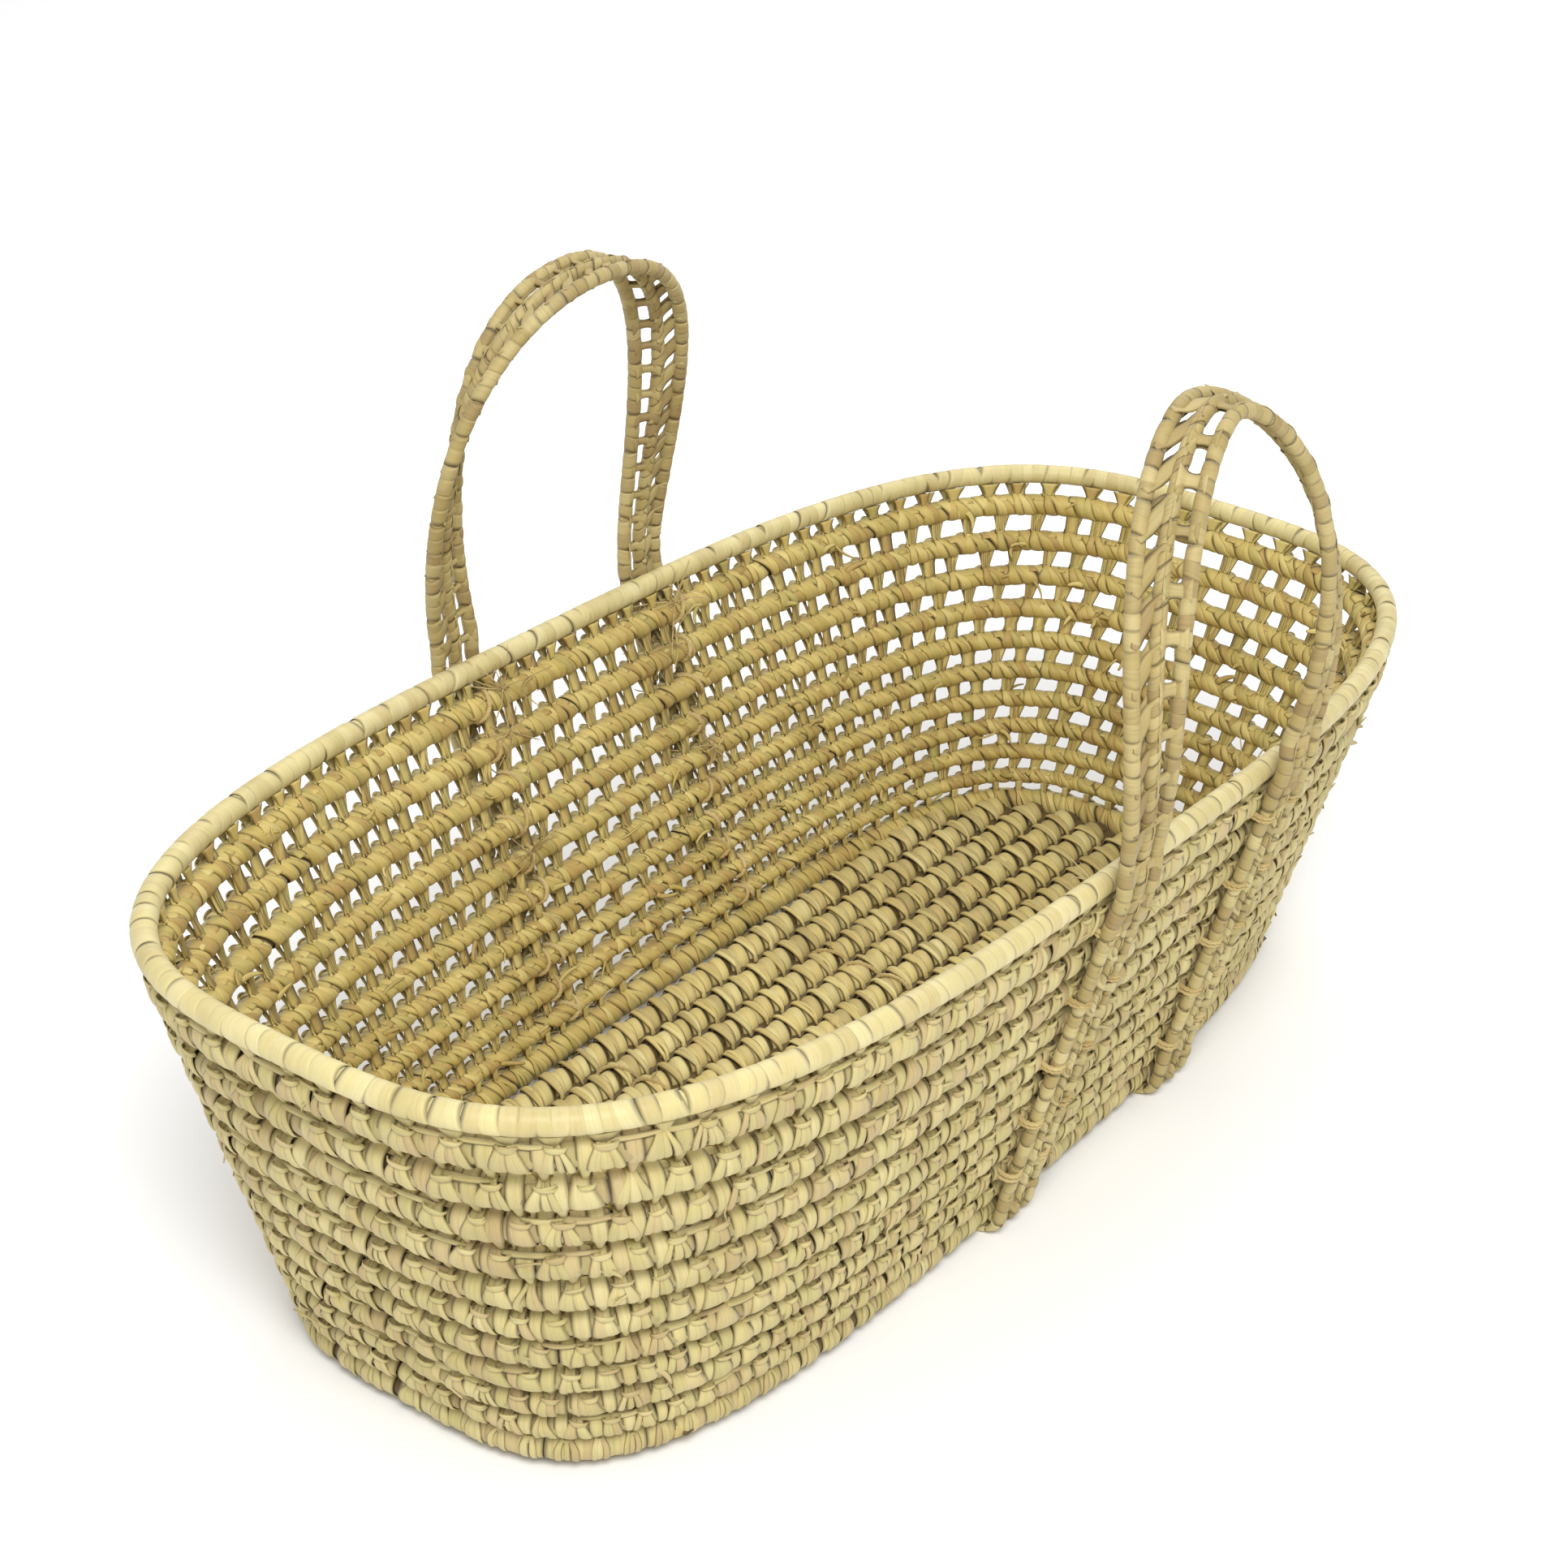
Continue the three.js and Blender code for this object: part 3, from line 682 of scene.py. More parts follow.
def wall_coil(index, material):
    rng = np.random.default_rng(100 + index)
    guide = wall_guide(index)
    gather = Gather()
    core_tall = lambda u: guide.extra("tall", u) - 0.5 * MM
    lay_core(gather, guide, WALL_OUT - 0.5 * MM, core_tall, 0.0)
    at = guide.at_share(BOWS[index])
    pitch = local_pitch(guide, at)
    wall_inside(gather, guide, rng, at, pitch)
    wall_outside(gather, guide, rng, index, at, pitch)
    lay_strays(gather, guide, rng, 26, -1)
    lay_strays(gather, guide, rng, 12, 1)
    if index == WALL_COILS:
        tall = guide.extra("tall", at)
        lay_gussets(gather, guide, rng, at, pitch, tall, guide.extra("reach", at))
    name = f"wall_coil_{index:02d}"
    return gather.build(f"leaf_{name}", material, [name])


RIM_PITCH = 7.6 * MM  # from one turn of the rim's wrapping to the next


def rim_guide():
    centre = LOW + UP * WALL_HEIGHT[:, None]
    return Guide(centre, OUT, UP, True)


def rim_radius(guide, u):
    """The wrapped rim is a little thicker at the head."""
    x = np.interp(guide.wrap(u), guide.stations, guide.centre[:, 0])
    return (5.7 - 0.4 * x / RIM_HALF_LENGTH) * MM


def rim(material):
    rng = np.random.default_rng(7)
    guide = rim_guide()
    gather = Gather()
    core_radius = lambda u: rim_radius(guide, u) - 0.4 * MM
    lay_core(gather, guide, core_radius, core_radius, 0.1)
    at = spaced(rng, guide, round(guide.length / RIM_PITCH), 0.3, start=0)
    radius = rim_radius(guide, at)
    lay_loops(
        gather, guide, rng, at, radius, radius, width=11.5 * MM, first=-100, lift=0.1 * MM,
        uneven=0.12 * MM, crown=0.08 * MM, tilt=0.12 * MM, slant=2.6 * MM, steps=34,
    )
    return gather.build("leaf_rim", material, ["rim_rod"])


def edge_ring(material):
    """The coil that joins wall and floor."""
    rng = np.random.default_rng(31)
    bottom, top = coil_limits(1)
    reach = (bottom + top) / 2 - coil_half_height(top - bottom) - EDGE_RADIUS
    upright = np.tile([0.0, 0.0, 1.0], (len(LOW), 1))
    guide = Guide(LOW, unit(OUT * [1, 1, 0]), upright, True, {"reach": reach})
    gather = Gather()
    lay_core(gather, guide, EDGE_RADIUS - 0.4 * MM, EDGE_RADIUS - 0.4 * MM, 0.0)
    at = guide.at_share(BOWS[0])
    pitch = local_pitch(guide, at)
    tall = np.full(len(at), EDGE_RADIUS)
    for share in (0.25, 0.75):
        place = at + pitch * (share + rng.uniform(-0.05, 0.05, len(at)))
        lay_loops(
            gather, guide, rng, place, EDGE_RADIUS, EDGE_RADIUS, width=0.6 * pitch, lean=8 * MM,
            lift=0.1 * MM,
        )
    reach = guide.extra("reach", at)
    for side, lean in ((1, 0), (-1, 7 * MM)):
        lay_pleats(
            gather, guide, rng, at, EDGE_RADIUS, tall, reach, side, folds=3, scale=pitch / END_STITCH,
            lean=lean, last=-50,
        )
    lay_bows(gather, guide, rng, at, tall * 0.8, 3.4 * MM, 1, reach=4.0 * MM, half=1.7 * MM)
    return gather.build("leaf_floor_edge_coil", material, ["floor_edge_coil"])


# Floor

FLOOR_SKEW = 3.0 * MM  # how far the strips run along a floor coil from edge to middle
FLOOR_STITCH = 16 * MM


def lay_crossings(gather, guide, rng, at, high, wide_reach):
    """Narrow strips sewn over a floor coil where it is pinched, down to the next coil."""
    steps = 15
    s = np.linspace(-1, 1, steps)[None, :]
    for shift, share in ((-1.3 * MM, 1.0), (1.4 * MM, 0.85), (0.2 * MM, 0.3)):
        start = at[rng.random(len(at)) < share][:, None] + shift
        count = len(start)
        slope = FLOOR_SKEW + rng.uniform(-1.2, 1.2, (count, 1)) * MM
        u = start + slope * s - 1.2 * shift * s**4
        b = s * (wide_reach + 3.4 * MM) + 0 * u
        rise = rng.uniform(0.1, 0.9, (count, 1)) * MM
        a = (high + rise) * np.maximum(1 - np.abs(s) ** 2.6, 0) ** 0.5 - 0.5 * MM
        path = np.stack([u, a, b], -1)
        along = unit(np.gradient(path, axis=1))
        normal = unit(np.stack([0 * u, 1 + 0 * u, 0.8 * s + 0 * u], -1))
        wide = unit(np.cross(normal, along))
        half = rng.uniform(1.6, 2.6, (count, 1)) * MM * (1 - 0.3 * s**2)
        lay_ribbons(gather, guide, path, wide, normal, half, 0.8 * MM, 0, rng.random(count))


def floor_coil(index, material):
    """A straight coil of strips wound in pairs, with crossings sewn between the pairs."""
    name = f"floor_coil_{index:02d}"
    rng = np.random.default_rng(500 + index)
    low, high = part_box(name)
    y = (index - (FLOOR_COILS + 1) / 2) * FLOOR_PITCH
    x = np.linspace(low.x, high.x, 60)
    centre = np.stack([x, np.full_like(x, y), np.full_like(x, FLOOR_LEVEL)], -1)
    upward = np.tile([0.0, 0.0, 1.0], (60, 1))
    sideways = np.tile([0.0, 1.0, 0.0], (60, 1))
    guide = Guide(centre, upward, sideways, False)
    gather = Gather()
    half_wide, half_high = 7.6 * MM, 6.4 * MM
    lay_core(gather, guide, half_high - 1.8 * MM, half_wide - 1.8 * MM, 0.0)
    # a flat sheet in the cores' dark brown that fills the valleys to the next coils: painted shade in the
    # gaps, which also blocks the ground's light from below
    lay_core(gather, guide, 2.6 * MM, FLOOR_PITCH / 2 + 0.8 * MM, 0.0, offset=(-1.4 * MM, 0))
    at = spaced(rng, guide, round(guide.length / FLOOR_STITCH), 0.1)
    for shift in (-3.1 * MM, 2.6 * MM):
        lay_loops(
            gather, guide, rng, at + shift, half_high - 0.9 * MM, half_wide - 0.6 * MM, width=9.6 * MM,
            lean=3 * MM, crown=1.1 * MM, tilt=0.4 * MM, lift=0, uneven=0.7 * MM, skew=FLOOR_SKEW,
        )
    lay_crossings(gather, guide, rng, at[:-1] + np.diff(at) / 2, half_high, half_wide)
    return gather.build(f"leaf_{name}", material, [name])


# Handles and straps


def band_distance(z):
    """How far a strap stands from the basket's middle line at height z."""
    at_height = np.minimum(z, RIM_HEIGHT)
    wall = BASE_HALF_WIDTH + (at_height - BASE_LEVEL) * math.tan(WALL_TILT)
    return wall + BAND_OFFSET / math.cos(WALL_TILT)


def handle_centre(side, u):
    """The arch of a handle, u from 0 at its head leg to 1 at its foot leg."""
    angle = math.pi * u
    arch = ARCHES[side]
    c, s = np.cos(angle), np.sin(angle)
    reach = LEG_HALF_SPACING + arch["bulge"] * s
    share = np.abs(s) ** ARCH_RISE_POWER
    height = arch["rise"] * share
    leant = arch["lean"] * height**2 / (height + 30 * MM)
    inward = leant - 4 * arch["flare"] * share * (1 - share)
    return np.stack(
        [
            SHIFTS[side] - reach * signed_power(c, arch["point"]),
            side * (band_distance(STRAP_TOP) - inward), STRAP_TOP + HANDLE_GAP + height,
        ],
        -1,
    )


def strap_x(y, end):
    """Straps run a little askew, because the two handles are shifted apart."""
    total = band_distance(STRAP_TOP)
    share = (y + total) / (2 * total)
    return SHIFTS[-1] + (SHIFTS[1] - SHIFTS[-1]) * share + end * LEG_HALF_SPACING


def wall_run(side, end, low, high, steps):
    """Points of a strap up one wall, pulled in tight below the rim."""
    z = np.linspace(low, high, steps)
    pulled = STRAP_PULL * smooth(z, 8 * MM, 30 * MM) * (1 - smooth(z, 195 * MM, 236 * MM))
    y = side * (band_distance(z) - pulled)
    return np.stack([strap_x(y, end), y, z], -1)


def even_path(points, wides, step):
    """The same path in even steps, with its corners rounded."""
    lengths = run_lengths(points)
    at = np.linspace(0, lengths[-1], int(lengths[-1] / step) + 1)
    points, wides = sample(points, lengths, at), sample(wides, lengths, at)
    relax(points, 6)
    return points, wides


def band_guide(points, wides, side, thin=None):
    """A guide for a flat band; thin squashes it where it lies under the base."""
    along = unit(np.gradient(points, axis=0))
    wides = unit(wides - along * np.sum(wides * along, axis=1, keepdims=True))
    outward = -side * np.cross(along, wides)
    if thin is not None:
        outward = outward * thin[:, None]
    return Guide(points, outward, wides, False)


BAND_PARTS = ("cord_inner", "cord_middle", "cord_outer", "web_inner", "web_outer")
HANDLE_LOW = 206 * MM  # where the handles' legs join the straps
STRAP_PULL = 1.5 * MM
WRAP_PITCH = 8.4 * MM


def handle_guide(side):
    u = 0.5 - 0.5 * np.cos(np.linspace(0, math.pi, 400))
    arch = handle_centre(side, u)
    turn = math.pi * u
    arch_wides = np.stack([np.cos(turn), side * np.sin(turn), 0 * u], -1)
    head = wall_run(side, -1, HANDLE_LOW, STRAP_TOP, 20)
    foot = wall_run(side, 1, HANDLE_LOW, STRAP_TOP, 20)[::-1]
    points = np.vstack([head, arch, foot])
    right = np.tile([1.0, 0.0, 0.0], (20, 1))
    wides = np.vstack([right, arch_wides, -right])
    points, wides = even_path(points, wides, 2 * MM)
    return band_guide(points, wides, side)


def lay_cord(gather, guide, rng, place, radius, pitch, slant, skew=0.0, seam=176, sink=0.0):
    offset = (-sink, place * CORD_SPACING)
    lay_core(gather, guide, radius - 0.2 * MM, radius - 0.2 * MM, 0.15, offset=offset)
    at = spaced(rng, guide, int(guide.length / pitch), 0.16)
    lay_loops(
        gather, guide, rng, at, radius, radius, width=pitch * 1.22, first=seam, turn=366, lift=0.02 * MM,
        uneven=0.1 * MM, crown=0.05 * MM, tilt=0.12 * MM, slant=slant, skew=skew, offset=offset, steps=20,
    )


def lay_band(gather, guide, rng, radii, leaf_pitch, rung_pitch, sewn=False):
    """Three wrapped cords side by side, with slanting leaves on one side of the middle
    cord and rungs on the other. A sewn band lies sunk against the wall."""
    for place in (-1, 0, 1):
        radius = radii[place + 1]
        sink = 0.7 * (CORD_RADIUS - radius) if sewn else 0.0
        seam = 176 if sewn or place == 0 else -90 * place - 4
        pitch, slant, skew = WRAP_PITCH, 1.4 * MM, 0.0
        if place == 0:
            pitch, slant, skew = 6.5 * MM, 0.8 * MM, 2.6 * MM
        lay_cord(gather, guide, rng, place, radius, pitch, slant, skew, seam, sink)
    lay_web_leaves(gather, guide, rng, leaf_pitch)
    lay_rungs(gather, guide, rng, rung_pitch)


def lay_web_leaves(gather, guide, rng, pitch):
    """Broad leaves that slant from the outer cord over to the middle one."""
    at = spaced(rng, guide, int(guide.length / pitch), 0.08)[:, None]
    count, steps = len(at), 15
    s = np.linspace(-1, 1, steps)[None, :]
    run = pitch * 1.08
    for face in (1, -1):
        u = at + face * 0.05 * pitch + s * run / 2 + 0 * at
        b = -CORD_SPACING * (0.5 - 0.54 * s) + 0 * at
        hump = 3.1 * MM * smooth(np.abs(s), 0.45, 0.95)
        path = np.stack([u, face * (0.6 * MM + hump) + 0 * u, b], -1)
        normal = every(path, 1, face)
        along = unit(np.gradient(path, axis=1))
        wide = unit(np.cross(along, normal) * [1, 0.15, 1])
        half = pitch * (0.1 + 0.12 * (1 - s**2)) * rng.uniform(0.8, 1.2, (count, 1))
        tilt = rng.uniform(-0.8, 0.8, (count, 1)) * MM
        lay_ribbons(gather, guide, path, wide, normal, half, 0.5 * MM, tilt, rng.random(count))


def lay_rungs(gather, guide, rng, pitch):
    """Short wraps that tie the inner cord to the middle one, with arched holes between."""
    at = spaced(rng, guide, int(guide.length / pitch), 0.08)[:, None]
    count, steps = len(at), 13
    s = np.linspace(-1, 1, steps)[None, :]
    for face in (1, -1):
        u = at + 0.5 * MM * s * rng.uniform(-1, 1, (count, 1))
        b = CORD_SPACING / 2 + s * (CORD_SPACING / 2 + 0.6 * MM) + 0 * at
        hump = 2.9 * MM * smooth(np.abs(s), 0.3, 0.9)
        path = np.stack([u, face * (0.8 * MM + hump) + 0 * u, b], -1)
        wide, normal = every(path, 0, -face), every(path, 1, face)
        half = pitch * (0.14 + 0.17 * s**2) * rng.uniform(0.8, 1.2, (count, 1))
        lay_ribbons(gather, guide, path, wide, normal, half, 0.7 * MM, 0, rng.random(count))


def handle(side, material):
    name = "near" if side < 0 else "far"
    rng = np.random.default_rng(900 + side)
    gather = Gather()
    guide = handle_guide(side)
    radii = (3.7 * MM, 3.5 * MM, 3.7 * MM)
    pitches = (23 * MM, 25 * MM) if side < 0 else (15.5 * MM, 15.8 * MM)
    lay_band(gather, guide, rng, radii, *pitches)
    nodes = [f"handle_{name}_{part}" for part in BAND_PARTS]
    piece = gather.build(f"leaf_handle_{name}", material, nodes, body=None)
    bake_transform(piece)
    return piece


def strap(end, material):
    name = "head" if end < 0 else "foot"
    rng = np.random.default_rng(950 + end)
    bottom = BASE_LEVEL - BAND_OFFSET * math.sin(WALL_TILT)
    near = wall_run(-1, end, bottom, HANDLE_LOW, 40)[::-1]
    far = wall_run(1, end, bottom, HANDLE_LOW, 40)
    angle = np.linspace(WALL_TILT, math.pi / 2, 16)  # round the lowest coil
    room = (BASE_LEVEL - COIL_CLEARANCE * np.sin(angle)) / (1 + np.sin(angle))
    half = np.minimum(CORD_RADIUS, room)
    y = BASE_HALF_WIDTH + (COIL_CLEARANCE + half) * np.cos(angle)
    z = BASE_LEVEL - (COIL_CLEARANCE + half) * np.sin(angle)
    turn = np.stack([strap_x(-y, end), -y, z], -1)
    back = np.stack([strap_x(y, end), y, z], -1)[::-1]
    y = np.linspace(-BASE_HALF_WIDTH, BASE_HALF_WIDTH, 40)
    under = np.stack([strap_x(y, end), y, np.full_like(y, STRAP_HALF_THICKNESS)], -1)
    points = np.vstack([near[:-1], turn, under[1:-1], back, far[1:]])
    wides = np.tile([1.0, 0.0, 0.0], (len(points), 1))
    points, wides = even_path(points, wides, 2 * MM)
    thin = 0.55 + 0.45 * smooth(points[:, 2], 2.5 * MM, 9 * MM)
    guide = band_guide(points, wides, 1, thin)
    gather = Gather()
    radii = (3.2 * MM, 2.3 * MM, 2.2 * MM)
    lay_band(gather, guide, rng, radii, 20 * MM, 18 * MM, sewn=True)
    nodes = [f"strap_{name}_{part}" for part in BAND_PARTS]
    return gather.build(f"leaf_strap_{name}", material, nodes)


# Twine: thin two-ply tubes laid along points given in the row frame

ODD_WAY = (0.31, 0.17, 0.93)  # a direction that no run of twine keeps to
KNOT_COILS = (WALL_COILS, WALL_COILS - 1, WALL_COILS - 4)
FLOOR_TWINE_X = (-72 * MM, 92 * MM)
TWINE_TURN = 5.5 * MM  # length in which the plies go once round
TWINE_STEP = 0.9 * MM


def lay_twine(gather, points, radius, rng, plies=2):
    points = np.asarray(points, float)
    lengths = run_lengths(points)
    steps = max(4, int(lengths[-1] / TWINE_STEP))
    at = np.linspace(0, lengths[-1], steps)
    line = sample(points, lengths, at)
    relax(line, 3)
    along = unit(np.gradient(line, axis=0))
    side = unit(np.cross(along, ODD_WAY))
    other = np.cross(along, side)
    sides = 8
    angle = np.arange(sides) / sides * 2 * math.pi
    twist = at[:, None] / TWINE_TURN * 2 * math.pi + rng.uniform(0, 6)
    shape = radius * (1 + 0.2 * np.cos(plies * (angle - twist)))
    taper = np.minimum(1, (at[-1] - at) / (4 * MM) + 0.25)[:, None]
    shape = shape * taper
    ring = side[:, None, :] * (shape * np.cos(angle))[..., None]
    ring = ring + other[:, None, :] * (shape * np.sin(angle))[..., None]
    local = (line[:, None, :] + ring)[None]
    around, tone = np.arange(sides) / sides, 0.2 + 0.6 * rng.random()
    strip = strip_values(local.shape[:-1], tone, around, at[None, :, None] * 10, 0.5)
    caps = ((0, 1, 2, 7), (7, 2, 3, 6), (6, 3, 4, 5))
    gather.grid(local, strip, False, caps=caps)


def lay_frays(gather, rng, root, count, reach):
    """Loose fibres at a knot."""
    for _ in range(count):
        way = unit(rng.normal(size=3) * [1, 0.6, 1])
        bend = rng.normal(size=3) * 0.35
        share = np.linspace(0, 1, 6)[:, None]
        length = reach * rng.uniform(0.5, 1.2)
        points = root + length * (way * share + bend * share**2)
        points[:, 2] = np.maximum(points[:, 2], 1 * MM)
        lay_twine(gather, points, rng.uniform(0.22, 0.4) * MM, rng, plies=1)


def ring_share(x, side):
    """Share of the way round where a long side passes x, halfway up the wall."""
    middle_x = (LOW + 0.5 * UP * WALL_HEIGHT[:, None])[:, 0]
    far = np.where(LOW[:, 1] * side > 0, np.abs(middle_x - x), np.inf)
    return np.argmin(far) / len(LOW)


def strap_crossing(index, side, end):
    """A wall coil's guide, and the place along it where a strap passes."""
    guide = wall_guide(index)
    middle = guide.centre[:, 2].mean()
    x = strap_x(side * band_distance(middle), end)
    return guide, guide.at_share(ring_share(x, side))


def outer_ties(gather, side, end, rng):
    """Twine loops round the strap's edge cords, sewn through every second wall coil."""
    for index in range(2, WALL_COILS + 1, 2):
        guide, u = strap_crossing(index, side, end)
        for place in (-1, 1):
            middle = u + place * CORD_SPACING
            level = rng.uniform(-4, 4) * MM
            for turn in range(2):
                angle = np.radians(np.linspace(-175, 175, 30))
                b = level + turn * 2.3 * MM + rng.uniform(-0.4, 0.4) * MM + 1.5 * MM * np.sin(angle)
                a = 9.0 * MM + 7.4 * MM * np.cos(angle)
                local = np.stack([middle + 5.1 * MM * np.sin(angle), a, b + 0 * a], -1)
                lay_twine(gather, guide.place(local), 1.2 * MM, rng)
            knot = guide.place(np.array([[middle + 3 * MM, 15.5 * MM, level]]))[0]
            lay_frays(gather, rng, knot, 3, 7 * MM)


def inner_column(gather, side, end, rng):
    """Twine that runs up the inside of the wall, over the coils, behind a strap."""
    lean = 1
    for index in range(WALL_COILS, 0, -1):
        guide, u = strap_crossing(index, side, end)
        tall = guide.extra("tall", u)
        for _ in range(2 if index % 2 else 1):
            shift = rng.uniform(-9, 9) * MM
            run = lean * rng.uniform(2, 7) * MM
            angle = np.radians(np.linspace(70, 290, 26))
            way = np.linspace(-1, 1, 26)
            a = (WALL_OUT + 2.1 * MM) * np.cos(angle) - 0.4 * MM
            b = (tall + 2.2 * MM) * np.sin(angle)
            local = np.stack([u + shift + run * way, a, b], -1)
            lay_twine(gather, guide.place(local), 1.3 * MM, rng)
            lean = -lean
        if index in KNOT_COILS:
            local = np.array([[u + rng.uniform(-6, 6) * MM, -WALL_OUT - 2.5 * MM, tall]])
            lay_frays(gather, rng, guide.place(local)[0], 18, 21 * MM)


def twine(side, end, material):
    place = "near" if side < 0 else "far"
    foot = "head" if end < 0 else "foot"
    rng = np.random.default_rng(300 + side * 10 + end)
    gather = Gather()
    outer_ties(gather, side, end, rng)
    inner_column(gather, side, end, rng)
    name = f"twine_{place}_{foot}"
    return gather.build(name.replace("twine", "jute"), material, [name])


def floor_twine(material):
    """Two runs of twine that loop over the floor's coils."""
    rng = np.random.default_rng(340)
    gather = Gather()
    for x in FLOOR_TWINE_X:
        for index in range(2, FLOOR_COILS):
            y = (index - (FLOOR_COILS + 1) / 2) * FLOOR_PITCH
            if rng.random() < 0.15:
                continue
            angle = np.radians(np.linspace(-15, 195, 24))
            way = np.linspace(-1, 1, 24)
            points = np.stack(
                [
                    x + rng.uniform(-5, 5) * MM + rng.uniform(3, 8) * MM * way,
                    y + 10.6 * MM * np.cos(angle), FLOOR_LEVEL + 8.2 * MM * np.sin(angle),
                ],
                -1,
            )
            lay_twine(gather, points, 1.1 * MM, rng)
            if rng.random() < 0.3:
                lay_frays(gather, rng, points[12] + [0, 0, 1 * MM], 4, 8 * MM)
    return gather.build("jute_floor", material, ())


# Materials


def linear(red, green, blue):
    def one(value):
        share = value / 255
        return share / 12.92 if share <= 0.04045 else ((share + 0.055) / 1.055) ** 2.4

    return (one(red), one(green), one(blue), 1.0)


def shades(*tones):
    return [linear(*tone) for tone in tones]


class Nodes:
    """A small helper to write a node material in order."""

    def __init__(self, name):
        self.material = bpy.data.materials.new(name)
        self.material.use_nodes = True
        self.tree = self.material.node_tree
        self.shader = self.tree.nodes["Principled BSDF"]

    def add(self, kind, **settings):
        node = self.tree.nodes.new(kind)
        for key, value in settings.items():
            setattr(node, key, value)
        return node

    def link(self, start, end):
        self.tree.links.new(start, end)

    def feed(self, socket, value):
        """Gives a socket a constant or another node's output."""
        if isinstance(value, (int, float, tuple)):
            socket.default_value = value
        else:
            self.link(value, socket)

    def math(self, operation, *values):
        node = self.add("ShaderNodeMath", operation=operation)
        for socket, value in zip(node.inputs, values):
            self.feed(socket, value)
        return node.outputs[0]

    def mix(self, share, first, second, blend="MIX"):
        node = self.add("ShaderNodeMix", data_type="RGBA", blend_type=blend)
        for index, value in ((0, share), (6, first), (7, second)):
            self.feed(node.inputs[index], value)
        return node.outputs[2]

    def noise(self, vector, scale, detail, roughness=0.5):
        node = self.add("ShaderNodeTexNoise", noise_dimensions="3D")
        node.inputs["Scale"].default_value = scale
        node.inputs["Detail"].default_value = detail
        node.inputs["Roughness"].default_value = roughness
        self.link(vector, node.inputs["Vector"])
        return node.outputs[0]

    def ramp(self, value, stops):
        node = self.add("ShaderNodeValToRGB")
        ramp = node.color_ramp
        while len(ramp.elements) < len(stops):
            ramp.elements.new(0.5)
        for element, (position, color) in zip(ramp.elements, stops):
            element.position = position
            element.color = color
        self.link(value, node.inputs[0])
        return node.outputs[0]


WHITE = (1, 1, 1, 1)


def leaf_veins(n, tone, across, along):
    """Veins run along the strip: noise stretched along it, different on each strip."""
    join = n.add("ShaderNodeCombineXYZ")
    n.link(n.math("MULTIPLY", across, 9.0), join.inputs[0])
    n.link(n.math("MULTIPLY", along, 3.0), join.inputs[1])
    n.link(n.math("MULTIPLY", tone, 97.0), join.inputs[2])
    return n.noise(join.outputs[0], 1.0, 3.0, 0.65)


def leaf_color(n, palettes, tone, side, across, vein, blotch, edges, veining):
    """Strip colours with streaks along the veins, stains, and edges darkened both for the leaves' brown
    rims and as painted shade in the seams between strips.
    """
    colors = []
    for palette in palettes:
        stops = [((i + 0.5) / len(palette), color) for i, color in enumerate(palette)]
        colors.append(n.ramp(tone, stops))
    color = colors[0] if len(colors) == 1 else n.mix(side, colors[1], colors[0])
    streak = n.ramp(vein, [(0.3, (0.72, 0.70, 0.62, 1)), (0.55, WHITE), (0.75, (1.0, 1.0, 0.98, 1))])
    color = n.mix(veining, color, streak, "MULTIPLY")
    stain = n.ramp(blotch, [(0.35, (0.83, 0.80, 0.72, 1)), (0.6, WHITE)])
    color = n.mix(0.8, color, stain, "MULTIPLY")
    # Darker strip edges: partly the leaves' own brown rims, partly painted shade standing for the dark
    # seams between overlapping strips
    edge = n.math("ABSOLUTE", n.math("SUBTRACT", across, 0.5))
    brown_edge_and_seam_shade = n.ramp(edge, [(0.40, WHITE), (0.5, (0.62, 0.55, 0.42, 1))])
    return n.mix(edges, color, brown_edge_and_seam_shade, "MULTIPLY")


def leaf_surface(n, vein, fine, rough, bump):
    low, high = rough
    roughness = n.add("ShaderNodeMapRange")
    roughness.inputs["To Min"].default_value = low
    roughness.inputs["To Max"].default_value = high
    n.link(vein, roughness.inputs["Value"])
    n.link(roughness.outputs[0], n.shader.inputs["Roughness"])
    bumps = n.add("ShaderNodeBump")
    bumps.inputs["Strength"].default_value = bump
    bumps.inputs["Distance"].default_value = 0.6 * MM
    n.link(n.math("ADD", vein, n.math("MULTIPLY", fine, 0.35)), bumps.inputs["Height"])
    n.link(bumps.outputs[0], n.shader.inputs["Normal"])
    n.shader.inputs["Sheen Weight"].default_value = 0.08
    n.shader.inputs["Sheen Roughness"].default_value = 0.5
    n.shader.inputs["Specular IOR Level"].default_value = 0.4


